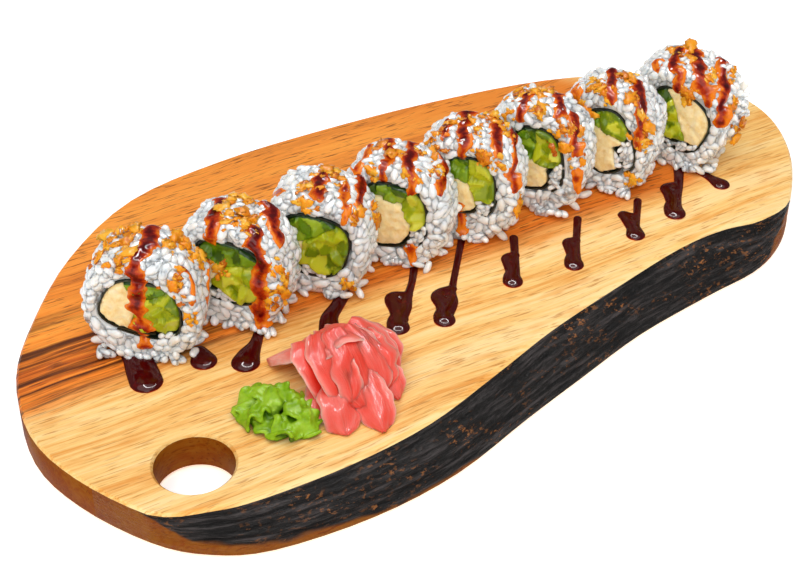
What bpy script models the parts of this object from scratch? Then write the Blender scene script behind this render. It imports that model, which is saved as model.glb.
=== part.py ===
"""Uramaki roll cut into eight, laid out with pickled ginger and wasabi on a live-edge acacia board.

Units are metres, +Z is up, the board lies along X and its charred edge faces -Y.
The board is flat underneath and its bounding box is centred on the origin.
"""
import math

import bmesh
import bpy
from mathutils import Matrix, Vector

# ---------------------------------------------------------------- driving dimensions
MM = 0.001
GAP = 0.3 * MM                    # clearance left between pieces that touch
BOARD_T = 15.4 * MM               # board thickness
EDGE_R = 1.0 * MM                 # softening of the board's sawn edges
HOLE_R = 14.3 * MM                # hanging hole
HOLE_AT = (-136.6 * MM, -62.5 * MM)
NORI_T = 0.6 * MM                 # soaked nori sheet
CUT_ROUND = 2.8 * MM              # how far the rice rounds over at a cut
RICE_SQUARE = 0.84                # under 1 a slice is squarer than an ellipse
RICE_SAG = 0.9                    # mm by which a slice's underside is pressed flat
RICE_SIDES = 28                   # points round a slice
NORI_BACK = 0.3                   # mm the sheet stands back from the cut face
FILLING_BACK = (0.1, 0.25, 0.4)   # mm that each filling in turn stands back from it
INNER_BACK = 0.5                  # mm that the rice in the tuck stands back from it
HEAP_FOOT = 2.0                   # mm of upright edge round the foot of a heap

# Underside outline of the board in mm: x, y and how far the live edge draws the top back.
OUTLINE = [
    (-180.4, -20, 0), (-174.5, -48, 0), (-160, -76, 0), (-145, -91, 7.5), (-125, -100, 12.5),
    (-88, -103.4, 15.5), (-52, -99.5, 16), (-15, -88, 16), (16, -79, 17.5), (50, -69.5, 16.5),
    (88, -63.5, 19), (113, -60.5, 17), (130, -54, 8), (146, -42, 0), (166, -19, 0), (178, 5, 0),
    (180.4, 26, 0), (173.5, 50, 0), (150, 71, 0), (110, 88.5, 0), (55, 98.5, 0), (0, 102.8, 0),
    (-50, 102.8, 0), (-94, 95, 0), (-130, 71, 0), (-157, 40, 0), (-174, 12, 0),
]
# Rings of the board from the underside up: height in mm, share of the live-edge setback,
# extra inset in mm of the softened edges.
BOARD_RINGS = [
    (0.0, 0.0, 0.8), (0.8, 0.0, 0.0), (3.0, 0.05, 0.0), (6.8, 0.24, 0.0), (10.8, 0.56, 0.0),
    (14.4, 0.92, 0.0), (15.4, 1.0, 1.0),
]

# The eight slices: footprint centre x, y in mm, yaw in degrees, width, height and length
# of the cut in mm.
SLICES = [
    (-122.0, 5.9, 53.0, 44.3, 45.4, 23.8),
    (-85.4, 5.7, 42.7, 43.5, 46.6, 22.4),
    (-49.3, 7.9, 50.3, 41.9, 45.8, 24.6),
    (-13.7, 9.4, 44.3, 44.7, 45.8, 22.3),
    (19.8, 10.1, 42.1, 44.1, 47.2, 23.5),
    (54.1, 12.1, 34.0, 44.5, 47.7, 21.5),
    (88.4, 9.7, 33.8, 42.2, 47.9, 22.5),
    (126.2, 9.6, 30.2, 45.2, 46.3, 24.8),
]

# Nori loop of each slice at the cut, in mm and degrees: centre u across and v up, half width,
# half height, tilt, taper towards the top, direction of the lap, depth of the tucked-in end.
LOOPS = [
    (0.2, 23.4, 14.8, 12.4, -14.0, -0.16, -88.0, 2.0),
    (-0.2, 25.2, 14.4, 13.8, -10.0, -0.02, -118.0, 4.5),
    (-0.7, 23.6, 14.0, 13.8, -14.0, 0.0, -112.0, 3.6),
    (-0.1, 22.6, 14.2, 15.4, 0.0, 0.0, -50.0, 5.8),
    (1.9, 25.0, 11.6, 14.0, 0.0, -0.04, -62.0, 5.5),
    (2.8, 25.0, 11.6, 15.0, 4.0, -0.06, -44.0, 6.5),
    (2.6, 23.8, 11.0, 15.2, 14.0, -0.10, -38.0, 8.5),
    (1.4, 23.4, 15.0, 13.2, -26.0, -0.10, -72.0, 4.5),
]
LOOP_SQUARE = 0.74                # under 1 the loop is squarer than an ellipse
LAP_TURN = 40.0                   # degrees that the sheet laps over its tucked-in end
TUCK_TURN = 85.0                  # degrees over which the tucked-in end joins the loop
TUCK_FADE = 24.0                  # degrees over which the fillings close round that end
LEAST_RICE_TUCK = 4.0             # a shallower tuck holds no rice
TIP_CLEAR = 0.7                   # mm kept between the fillings and the tucked-in end
SEAM = 0.2                        # mm each filling stands back from its neighbour
# The fillings press together and meet at one point, along three cuts: that point's u, v in
# mm, the directions of the cuts in degrees, and what fills the space after each cut.
MEETINGS = [
    (-1.6, 25.6, 112.0, 252.0, 385.0, ("omelette", "avocado", "cucumber")),
    (-0.6, 27.2, 146.0, 226.0, 378.0, ("omelette", "avocado", "cucumber")),
    (-4.4, 25.0, 178.0, 258.0, 394.0, ("omelette", "avocado", "cucumber")),
    (3.8, 28.6, 166.0, 292.0, 424.0, ("omelette", "avocado", "cucumber")),
    (2.2, 27.6, 166.0, 286.0, 452.0, ("omelette", "avocado", "cucumber")),
    (1.6, 25.2, 184.0, 336.0, 446.0, ("omelette", "avocado", "cucumber")),
    (-0.6, 29.4, 164.0, 338.0, 458.0, ("omelette", "avocado", "cucumber")),
    (-1.2, 33.2, 126.0, 242.0, 292.0, ("cucumber", "avocado", "omelette")),
]
# Heaps: centre, turn, height above the board and radius every 30 degrees, all in mm.
GINGER = ((-68.0, -51.0), 0.0, 21.0,
          (15.5, 16.0, 20.5, 23.0, 23.5, 24.5, 15.5, 19.5, 22.5, 26.5, 22.0, 16.5))
WASABI = ((-102.0, -57.5), -41.0, 10.5,
          (14.0, 11.5, 9.0, 6.6, 8.8, 11.2, 14.0, 10.6, 8.6, 7.0, 9.0, 11.8))


# ---------------------------------------------------------------- scene and collections
for old in list(bpy.data.objects):
    bpy.data.objects.remove(old, do_unlink=True)
scene = bpy.context.scene
scene.unit_settings.system = "METRIC"
scene.unit_settings.scale_length = 1.0
part = bpy.data.collections.new("uramaki_board")
cutters = bpy.data.collections.new("cutters")
scene.collection.children.link(part)
scene.collection.children.link(cutters)


def material(name, colour, roughness):
    """Plain surface material of one slot."""
    mat = bpy.data.materials.new(name)
    mat.use_nodes = True
    shader = mat.node_tree.nodes["Principled BSDF"]
    shader.inputs["Base Color"].default_value = (*colour, 1.0)
    shader.inputs["Roughness"].default_value = roughness
    mat.diffuse_color = (*colour, 1.0)
    return mat


WOOD = material("acacia", (0.60, 0.33, 0.12), 0.45)
RICE = material("rice", (0.86, 0.84, 0.80), 0.35)
NORI_MAT = material("nori", (0.012, 0.022, 0.012), 0.40)
EGG = material("omelette", (0.84, 0.66, 0.30), 0.55)
CUCUMBER_MAT = material("cucumber", (0.16, 0.34, 0.05), 0.30)
AVOCADO_MAT = material("avocado", (0.42, 0.50, 0.07), 0.40)
GINGER_MAT = material("pickled_ginger", (0.90, 0.27, 0.22), 0.35)
WASABI_MAT = material("wasabi", (0.26, 0.46, 0.06), 0.50)


def finish(obj, mat, where=part):
    """Give a finished solid its material, outward normals and smooth shading."""
    mesh = obj.data
    bm = bmesh.new()
    bm.from_mesh(mesh)
    bmesh.ops.remove_doubles(bm, verts=bm.verts, dist=0.00001)
    bmesh.ops.recalc_face_normals(bm, faces=bm.faces)
    bm.to_mesh(mesh)
    bm.free()
    mesh.materials.clear()
    mesh.materials.append(mat)
    mesh.shade_smooth()
    mesh.set_sharp_from_angle(angle=math.radians(40))
    for home in list(obj.users_collection):
        home.objects.unlink(obj)
    where.objects.link(obj)
    return obj


def new_object(name, mesh):
    obj = bpy.data.objects.new(name, mesh)
    scene.collection.objects.link(obj)
    return obj


def closed_curve(points, steps):
    """Catmull-Rom curve round through the points, any number of coordinates."""
    n = len(points)
    out = []
    for i in range(n):
        quad = [points[(i + k) % n] for k in (-1, 0, 1, 2)]
        for s in range(steps):
            t = s / steps
            row = []
            for a, b, c, d in zip(*quad):
                row.append(0.5 * (2 * b + (c - a) * t + (2 * a - 5 * b + 4 * c - d) * t * t
                                  + (3 * b - a - 3 * c + d) * t * t * t))
            out.append(tuple(row))
    return out


def loft(name, rings):
    """Closed solid through rings of equal count, capped at both ends."""
    bm = bmesh.new()
    rows = [[bm.verts.new(p) for p in ring] for ring in rings]
    count = len(rows[0])
    for low, high in zip(rows, rows[1:]):
        for i in range(count):
            j = (i + 1) % count
            bm.faces.new((low[i], low[j], high[j], high[i]))
    bm.faces.new(list(reversed(rows[0])))
    bm.faces.new(rows[-1])
    bmesh.ops.triangulate(bm, faces=[f for f in bm.faces if len(f.verts) > 4])
    mesh = bpy.data.meshes.new(name)
    bm.to_mesh(mesh)
    bm.free()
    return new_object(name, mesh)


def curve_mesh(name, points, half, solid):
    """Line drawn in u, v and extruded half each way: a solid bar, or an open sheet."""
    data = bpy.data.curves.new(name, "CURVE")
    data.dimensions = "2D" if solid else "3D"
    data.fill_mode = "BOTH" if solid else "FULL"
    data.extrude = half
    line = data.splines.new("POLY")
    line.points.add(len(points) - 1)
    for knot, (u, v) in zip(line.points, points):
        knot.co = (u, v, 0.0, 1.0)
    line.use_cyclic_u = solid
    holder = new_object(name + "_outline", data)
    graph = bpy.context.evaluated_depsgraph_get()
    mesh = bpy.data.meshes.new_from_object(holder.evaluated_get(graph))
    bpy.data.objects.remove(holder, do_unlink=True)
    bpy.data.curves.remove(data)
    bm = bmesh.new()
    bm.from_mesh(mesh)
    bmesh.ops.remove_doubles(bm, verts=bm.verts, dist=0.00001)
    bm.to_mesh(mesh)
    bm.free()
    mesh.name = name
    return new_object(name, mesh)


def apply_modifiers(obj):
    """Freeze an object's modifiers into its mesh."""
    graph = bpy.context.evaluated_depsgraph_get()
    mesh = bpy.data.meshes.new_from_object(obj.evaluated_get(graph))
    obj.modifiers.clear()
    obj.data = mesh
    mesh.name = obj.name
    return obj


def cut(obj, tool):
    """Boolean difference, keeping the cutter as a wire in its own collection."""
    mod = obj.modifiers.new("cut", "BOOLEAN")
    mod.operation = "DIFFERENCE"
    mod.solver = "EXACT"
    mod.object = tool
    apply_modifiers(obj)
    tool.hide_render = True
    tool.display_type = "WIRE"
    for home in list(tool.users_collection):
        home.objects.unlink(tool)
    cutters.objects.link(tool)


# ---------------------------------------------------------------- board
# Sawn square all round except along the front, where the live edge was left and charred.
outline = closed_curve(OUTLINE, 4)
shift_x = 0.5 * (max(p[0] for p in outline) + min(p[0] for p in outline))
shift_y = 0.5 * (max(p[1] for p in outline) + min(p[1] for p in outline))
outline = [(x - shift_x, y - shift_y, max(0.0, w)) for x, y, w in outline]
inward = []
for i in range(len(outline)):
    ahead = Vector(outline[(i + 1) % len(outline)][:2])
    behind = Vector(outline[i - 1][:2])
    along = (ahead - behind).normalized()
    inward.append(Vector((-along.y, along.x)))
rings = []
for z, share, inset in BOARD_RINGS:
    ring = []
    for (x, y, wane), normal in zip(outline, inward):
        back = wane * share + inset
        ring.append(((x + normal.x * back) * MM, (y + normal.y * back) * MM, z * MM))
    rings.append(ring)
board = loft("board", rings)

profile = bpy.data.meshes.new("hanging_hole")
profile.from_pydata(
    [(0, 0, -MM), (HOLE_R + 2 * EDGE_R, 0, -MM), (HOLE_R, 0, EDGE_R),
     (HOLE_R, 0, BOARD_T - EDGE_R), (HOLE_R + 2 * EDGE_R, 0, BOARD_T + MM), (0, 0, BOARD_T + MM)],
    [(0, 1), (1, 2), (2, 3), (3, 4), (4, 5)], [])
hole = new_object("hanging_hole", profile)
turn = hole.modifiers.new("turn", "SCREW")
turn.steps = 48
turn.render_steps = 48
turn.use_merge_vertices = True
turn.merge_threshold = 0.00001
apply_modifiers(hole)
hole.data.transform(Matrix.Translation((HOLE_AT[0], HOLE_AT[1], 0.0)))
finish(hole, WOOD)
cut(board, hole)
finish(board, WOOD)


# ---------------------------------------------------------------- slices
def rice_outline(width, height, phase, inset):
    """Uneven rounded outline of a slice, flattened where it sits on the board."""
    ring = []
    for i in range(RICE_SIDES):
        a = 2 * math.pi * i / RICE_SIDES
        lump = 1.0 - 0.012 * (1 + math.sin(3 * a + phase)) - 0.010 * (1 + math.sin(5 * a + 2.3 * phase))
        c = math.copysign(abs(math.cos(a)) ** RICE_SQUARE, math.cos(a))
        s = math.copysign(abs(math.sin(a)) ** RICE_SQUARE, math.sin(a))
        u = (0.5 * width * lump - inset) * c
        v = 0.5 * height + (0.5 * height + RICE_SAG - inset) * (s if s < 0 else s * lump)
        ring.append((u, max(v - RICE_SAG * (s > 0), 0.45 * inset)))
    return ring


def loop_point(shape, angle, inset):
    """Point of a nori loop at an angle in degrees, drawn in by an inset in mm."""
    cu, cv, half_u, half_v, tilt, taper = shape
    c = math.cos(math.radians(angle))
    s = math.sin(math.radians(angle))
    u = (half_u - inset) * math.copysign(abs(c) ** LOOP_SQUARE, c)
    v = (half_v - inset) * math.copysign(abs(s) ** LOOP_SQUARE, s)
    u *= 1.0 + taper * v / half_v
    t = math.radians(tilt)
    return (cu + u * math.cos(t) - v * math.sin(t), cv + u * math.sin(t) + v * math.cos(t))


def tuck_in(turned, depth):
    """How far the sheet lies inside the loop, after turning so many degrees from its start."""
    if turned < 0:
        return depth * min(1.0, max(0.0, 1.3 + turned / TUCK_FADE)) ** 2
    return depth * max(0.0, 1.0 - turned / TUCK_TURN) ** 1.3


def nori_path(shape, lap, depth):
    """Sheet from its tucked-in end, clockwise round the loop, to the end that laps over it."""
    steps = 34
    path = []
    for i in range(steps + 1):
        turned = (360.0 + LAP_TURN) * i / steps
        path.append(loop_point(shape, lap + 0.5 * LAP_TURN - turned, tuck_in(turned, depth)))
    return path


def inner_wall(shape, lap, depth):
    """Closed outline of the space inside the sheet."""
    wall = []
    for i in range(72):
        turned = 5.0 * i - 60.0
        inset = 0.5 * NORI_T / MM + GAP / MM + tuck_in(turned, depth)
        if -TUCK_FADE < turned < TUCK_TURN:
            inset += TIP_CLEAR
        wall.append(loop_point(shape, lap + 0.5 * LAP_TURN - turned, inset))
    return wall


def wall_hit(wall, start, angle):
    """Where a ray from start meets the wall."""
    du = math.cos(math.radians(angle))
    dv = math.sin(math.radians(angle))
    best = None
    for i, (au, av) in enumerate(wall):
        bu, bv = wall[(i + 1) % len(wall)]
        cross = du * (bv - av) - dv * (bu - au)
        if abs(cross) < 1e-9:
            continue
        reach = ((au - start[0]) * (bv - av) - (av - start[1]) * (bu - au)) / cross
        share = ((au - start[0]) * dv - (av - start[1]) * du) / cross
        if reach > 0 and -1e-6 <= share <= 1 + 1e-6 and (best is None or reach < best):
            best = reach
    return (start[0] + best * du, start[1] + best * dv)


def inset_outline(points, inset):
    """Outline drawn in by the same distance along every edge."""
    result = []
    area = sum(points[i - 1][0] * p[1] - p[0] * points[i - 1][1] for i, p in enumerate(points))
    side = 1.0 if area > 0 else -1.0
    for i, here in enumerate(points):
        before = (Vector(here) - Vector(points[i - 1])).normalized()
        after = (Vector(points[(i + 1) % len(points)]) - Vector(here)).normalized()
        n_before = Vector((-before.y, before.x)) * side
        n_after = Vector((-after.y, after.x)) * side
        middle = (n_before + n_after).normalized()
        move = middle * (inset / max(0.4, middle.dot(n_after)))
        result.append((here[0] + move.x, here[1] + move.y))
    return result


def filling_outline(wall, meeting, start, end):
    """One filling: from the meeting point out to the wall between two cuts."""
    steps = max(4, round((end - start) / 11.0))
    outline = [meeting]
    for i in range(steps + 1):
        outline.append(wall_hit(wall, meeting, start + (end - start) * i / steps))
    return inset_outline(outline, SEAM)


def inner_rice(shape, lap, depth):
    """Rice caught between the tucked-in end and the lap."""
    clear = NORI_T / MM + GAP / MM + 0.1
    inner = []
    outer = []
    for i in range(6):
        turned = 3.0 + 5.0 * i
        if tuck_in(turned, depth) < 2 * clear + 0.2:
            break
        angle = lap + 0.5 * LAP_TURN - turned
        inner.append(loop_point(shape, angle, tuck_in(turned, depth) - clear))
        outer.append(loop_point(shape, angle, clear))
    return inner + outer[::-1]


def upright_prism(name, outline, half, stand, mat):
    """Outline in mm extruded along the roll and stood in its slice's place."""
    bar = curve_mesh(name, [(u * MM, v * MM) for u, v in outline], half, solid=True)
    bar.data.transform(stand)
    return finish(bar, mat)


FILLING_MATS = {"omelette": EGG, "cucumber": CUCUMBER_MAT, "avocado": AVOCADO_MAT}
for k, (sx, sy, yaw, width, height, length) in enumerate(SLICES, start=1):
    half = 0.5 * length
    place = (Matrix.Translation((sx * MM, sy * MM, BOARD_T + GAP))
             @ Matrix.Rotation(math.radians(yaw - 90.0), 4, "Z"))
    stand = place @ Matrix.Rotation(math.radians(90.0), 4, "X")

    rings = []
    for a, inset in ((-half, CUT_ROUND / MM), (-half + 1.0, 1.1), (-half + 3.2, 0.0),
                     (half - 3.2, 0.0), (half - 1.0, 1.1), (half, CUT_ROUND / MM)):
        sway = 0.2 * math.sin(0.35 * a + 1.7 * k)
        section = rice_outline(width, height, 1.3 * k + 0.06 * a, inset)
        rings.append([((u + sway) * MM, a * MM, v * MM) for u, v in section])
    rice = loft("rice_%d" % k, rings)
    rice.data.transform(place)

    *shape, lap, depth = LOOPS[k - 1]
    bore_inset = -(0.5 * NORI_T / MM + GAP / MM + 0.2)
    bore_line = [loop_point(shape, 10.0 * i, bore_inset) for i in range(36)]
    bore = upright_prism("bore_%d" % k, bore_line, (half + 2.0) * MM, stand, RICE)
    cut(rice, bore)
    finish(rice, RICE)

    path = [(u * MM, v * MM) for u, v in nori_path(shape, lap, depth)]
    nori = curve_mesh("nori_%d" % k, path, (half - NORI_BACK) * MM, solid=False)
    sheet = nori.modifiers.new("sheet", "SOLIDIFY")
    sheet.thickness = NORI_T
    sheet.offset = 0.0
    sheet.use_even_offset = True
    apply_modifiers(nori)
    nori.data.transform(stand)
    finish(nori, NORI_MAT)

    *meeting, first, second, third, order = MEETINGS[k - 1]
    wall = inner_wall(shape, lap, depth)
    turns = (first, second, third, first + 360.0)
    for i, name in enumerate(order):
        outline = filling_outline(wall, tuple(meeting), turns[i], turns[i + 1])
        upright_prism("%s_%d" % (name, k), outline, (half - FILLING_BACK[i]) * MM, stand,
                      FILLING_MATS[name])
    if depth >= LEAST_RICE_TUCK:
        upright_prism("rice_inside_%d" % k, inner_rice(shape, lap, depth),
                      (half - INNER_BACK) * MM, stand, RICE)


# ---------------------------------------------------------------- ginger and wasabi heaps
def heap(name, spec, folds, depth, mat):
    """Heap shaped from a sphere: flat underneath, its outline and top uneven."""
    (cx, cy), turned, height, radii = spec
    bm = bmesh.new()
    bmesh.ops.create_uvsphere(bm, u_segments=24, v_segments=12, radius=1.0)
    for vert in bm.verts:
        x, y, z = vert.co
        angle = math.atan2(y, x) % (2 * math.pi)
        slot = angle / (2 * math.pi) * len(radii)
        low = int(slot) % len(radii)
        mix = slot - int(slot)
        reach = radii[low] * (1 - mix) + radii[(low + 1) % len(radii)] * mix
        flat = math.hypot(x, y)
        reach *= 1.0 + depth * math.sin(folds * angle + 4.0 * z)
        if z >= 0:
            lift = z * (1.0 + 0.5 * depth * math.sin(folds * angle))
            up = HEAP_FOOT + (height - HEAP_FOOT) * lift
            spread = flat ** 0.8
        else:
            up = HEAP_FOOT * max(0.0, 1.0 + 1.6 * z)
            spread = flat
        vert.co = (reach * spread * math.cos(angle) * MM, reach * spread * math.sin(angle) * MM,
                   up * MM)
    mesh = bpy.data.meshes.new(name)
    bm.to_mesh(mesh)
    bm.free()
    obj = new_object(name, mesh)
    mesh.transform(Matrix.Translation((cx * MM, cy * MM, BOARD_T + GAP))
                   @ Matrix.Rotation(math.radians(turned), 4, "Z"))
    return finish(obj, mat)


heap("ginger", GINGER, 7, 0.05, GINGER_MAT)
heap("wasabi", WASABI, 6, 0.07, WASABI_MAT)
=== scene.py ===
import math
import random

import bmesh
import bpy
import numpy as np
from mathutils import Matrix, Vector, noise
from mathutils.bvhtree import BVHTree


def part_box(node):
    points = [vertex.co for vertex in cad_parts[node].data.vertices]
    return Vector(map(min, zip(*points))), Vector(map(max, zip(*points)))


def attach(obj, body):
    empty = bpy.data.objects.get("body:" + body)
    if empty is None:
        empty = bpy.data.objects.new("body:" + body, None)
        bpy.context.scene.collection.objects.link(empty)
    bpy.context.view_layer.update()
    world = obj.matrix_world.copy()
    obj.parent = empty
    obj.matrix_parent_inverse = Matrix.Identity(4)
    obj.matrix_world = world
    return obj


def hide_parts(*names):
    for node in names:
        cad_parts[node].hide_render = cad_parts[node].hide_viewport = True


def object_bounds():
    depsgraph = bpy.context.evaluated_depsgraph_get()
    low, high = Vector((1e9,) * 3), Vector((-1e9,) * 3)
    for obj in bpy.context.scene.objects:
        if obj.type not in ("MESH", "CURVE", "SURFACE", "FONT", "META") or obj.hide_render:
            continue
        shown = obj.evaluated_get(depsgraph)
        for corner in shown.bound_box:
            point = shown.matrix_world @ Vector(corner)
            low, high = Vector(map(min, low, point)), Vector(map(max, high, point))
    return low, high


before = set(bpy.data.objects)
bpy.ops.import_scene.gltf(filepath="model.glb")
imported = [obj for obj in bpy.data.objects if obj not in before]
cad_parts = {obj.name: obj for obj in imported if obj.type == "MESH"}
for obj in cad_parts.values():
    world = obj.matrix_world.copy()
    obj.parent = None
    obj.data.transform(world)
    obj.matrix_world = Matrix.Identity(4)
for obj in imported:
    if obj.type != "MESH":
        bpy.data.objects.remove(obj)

MM = 0.001
scene = bpy.context.scene
cad_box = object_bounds()

# ---------------------------------------------------------------- board
# Live-edge acacia: a 15 mm plank sawn to a rounded outline, with a hanging hole. Its front
# edge keeps the natural slope, which was charred and brushed along the grain, then oiled.


def new_material(name, roughness=0.5):
    """Node material, with its tree and its surface shader."""
    mat = bpy.data.materials.new(name)
    mat.use_nodes = True
    tree = mat.node_tree
    shader = tree.nodes["Principled BSDF"]
    shader.inputs["Roughness"].default_value = roughness
    return mat, tree, shader


def feed(tree, target, feeds):
    """Give inputs of a shader node a value or another node's output."""
    for key, value in feeds.items():
        if isinstance(value, bpy.types.NodeSocket):
            tree.links.new(value, target.inputs[key])
        else:
            target.inputs[key].default_value = value


def node(tree, kind, feeds=None, **settings):
    """New shader node with its settings and its feeds."""
    made = tree.nodes.new("ShaderNode" + kind)
    for key, value in settings.items():
        setattr(made, key, value)
    feed(tree, made, feeds or {})
    return made


def figure(tree, vector, stretch, detail=3.0, roughness=0.55, offset=(0.0, 0.0, 0.0)):
    """Noise value in a pattern stretched by so many repeats a metre along each axis."""
    laid = node(tree, "Mapping", {"Vector": vector, "Scale": stretch, "Location": offset})
    grain = node(tree, "TexNoise", {"Vector": laid.outputs[0], "Scale": 1.0, "Detail": detail,
                                    "Roughness": roughness})
    return grain.outputs[0]


def grade(tree, factor, stops):
    """Colour ramp; each stop is a position and a linear colour or a grey."""
    ramp = node(tree, "ValToRGB", {"Fac": factor})
    marks = ramp.color_ramp.elements
    while len(marks) < len(stops):
        marks.new(0.5)
    for mark, (place, tone) in zip(marks, stops):
        mark.position = place
        mark.color = (tone, tone, tone, 1.0) if isinstance(tone, float) else (*tone, 1.0)
    return ramp.outputs[0]


def blend(tree, factor, first, second, mode="MIX"):
    """Two colours mixed."""
    mix = node(tree, "Mix", data_type="RGBA", blend_type=mode)
    for key, value in ((0, factor), (6, first), (7, second)):
        if isinstance(value, bpy.types.NodeSocket):
            tree.links.new(value, mix.inputs[key])
        elif key:
            mix.inputs[key].default_value = (*value, 1.0)
        else:
            mix.inputs[key].default_value = value
    return mix.outputs[2]


def maths(tree, operation, first, second=0.0, third=0.0, clamp=False):
    """One sum on values or sockets."""
    feeds = {0: first, 1: second, 2: third}
    return node(tree, "Math", feeds, operation=operation, use_clamp=clamp).outputs[0]


def ease(tree, value, low, high):
    """0 at low, 1 at high, smooth between."""
    feeds = {"Value": value, "From Min": low, "From Max": high}
    return node(tree, "MapRange", feeds, interpolation_type="SMOOTHSTEP").outputs[0]


def bump(tree, shader, height, distance, strength=1.0):
    """Surface relief from a height."""
    made = node(tree, "Bump", {"Height": height, "Distance": distance, "Strength": strength})
    tree.links.new(made.outputs[0], shader.inputs["Normal"])


def object_point(tree):
    return node(tree, "TexCoord").outputs["Object"]


SAP_LIGHT = (0.97, 0.70, 0.34)
SAP_PALE = (0.94, 0.59, 0.21)
SAP_WARM = (0.80, 0.34, 0.07)
HEART_LIGHT = (0.97, 0.36, 0.055)
HEART_MID = (0.86, 0.235, 0.026)
HEART_DEEP = (0.52, 0.105, 0.012)
HEART_STREAK = (0.045, 0.010, 0.004)
# Painted shade: the sawn sides and the bare wood under the char take the wood's colour multiplied down by
# this.
SAWN_SHADE = (0.27, 0.12, 0.022)
PITH_Y = -12 * MM                 # line between sapwood and heartwood
STREAK_X = -62 * MM               # dark streaks lie to the left of this
SAP_END_X = 128 * MM              # the heartwood runs out before the right end


def wood_colour(tree, at, shade):
    """Acacia colour, its fine grain and its pores, multiplied by the painted shade given for the sawn sides.
    """
    sway = figure(tree, at, (7, 14, 14), 2.0)
    drift = node(tree, "CombineXYZ", {"Y": maths(tree, "MULTIPLY_ADD", sway, 0.016, -0.008)})
    bent = node(tree, "VectorMath", {0: at, 1: drift.outputs[0]}, operation="ADD").outputs[0]
    broad = figure(tree, bent, (4, 55, 55), 3.0)
    fine = figure(tree, bent, (18, 520, 520), 6.0, 0.75)
    dashes = figure(tree, bent, (85, 1100, 1100), 2.0, 0.6)
    mottle = figure(tree, bent, (45, 130, 130), 2.0)
    spot = node(tree, "SeparateXYZ", {0: bent})

    grain = blend(tree, 0.5, broad, fine)
    sap = grade(tree, grain, [(0.41, SAP_WARM), (0.5, SAP_PALE), (0.58, SAP_LIGHT)])
    sap = blend(tree, maths(tree, "MULTIPLY", ease(tree, mottle, 0.5, 0.74), 0.6), sap, SAP_WARM)
    heart = grade(tree, grain, [(0.40, HEART_DEEP), (0.49, HEART_MID), (0.58, HEART_LIGHT)])
    # Painted light: the heartwood is lightened towards the back of the board.
    back = ease(tree, spot.outputs["Y"], 0.02, 0.085)
    heart = blend(tree, maths(tree, "MULTIPLY", back, 0.5), heart, (0.95, 0.38, 0.07))
    right = ease(tree, spot.outputs["X"], 0.0, 0.09)
    heart = blend(tree, maths(tree, "MULTIPLY", right, 0.5), heart, (0.72, 0.17, 0.018))
    streaky = figure(tree, bent, (6, 150, 150), 5.0, 0.65, (0.3, 0.1, 0.0))
    left = ease(tree, spot.outputs["X"], STREAK_X, STREAK_X - 0.06)
    low = ease(tree, spot.outputs["Y"], 0.055, 0.02)
    left = maths(tree, "MULTIPLY", left, low)
    dark = maths(tree, "MULTIPLY", ease(tree, streaky, 0.47, 0.60), left)
    heart = blend(tree, maths(tree, "MULTIPLY", dark, 0.93), heart, HEART_STREAK)

    ragged = maths(tree, "MULTIPLY_ADD", broad, 0.022, -0.011)
    over = maths(tree, "ADD", spot.outputs["Y"], ragged)
    behind = ease(tree, over, PITH_Y - 0.006, PITH_Y + 0.006)
    before_end = ease(tree, maths(tree, "ADD", spot.outputs["X"], ragged), SAP_END_X + 0.004,
                      SAP_END_X - 0.014)
    in_heart = maths(tree, "MULTIPLY", behind, before_end)
    colour = blend(tree, in_heart, sap, heart)
    dash_mask = ease(tree, dashes, 0.54, 0.66)
    dash_mask = maths(tree, "MULTIPLY", dash_mask, ease(tree, mottle, 0.3, 0.56))
    dash_tone = blend(tree, in_heart, (0.55, 0.22, 0.045), (0.12, 0.030, 0.008))
    colour = blend(tree, maths(tree, "MULTIPLY", dash_mask, 0.75), colour, dash_tone)
    return blend(tree, 1.0, colour, shade, "MULTIPLY"), fine, dash_mask


def wood_material(name, shade, burnish, gloss):
    """Oiled acacia."""
    mat, tree, shader = new_material(name, 0.42)
    colour, fine, dash_mask = wood_colour(tree, object_point(tree), shade)
    rough = maths(tree, "MULTIPLY_ADD", fine, 0.24, burnish)
    feed(tree, shader, {"Base Color": colour, "Roughness": rough, "Specular IOR Level": gloss})
    relief = maths(tree, "SUBTRACT", fine, maths(tree, "MULTIPLY", dash_mask, 0.8))
    bump(tree, shader, relief, 0.00012, 0.6)
    return mat


LEFT_TIP = -163 * MM              # the charring comes to a point at the left here
RIGHT_TAPER = 116 * MM            # and from here on it leaves the foot of the edge bare
FOOT_END = -20 * MM               # left of this a strip of bare wood shows under the char


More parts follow.
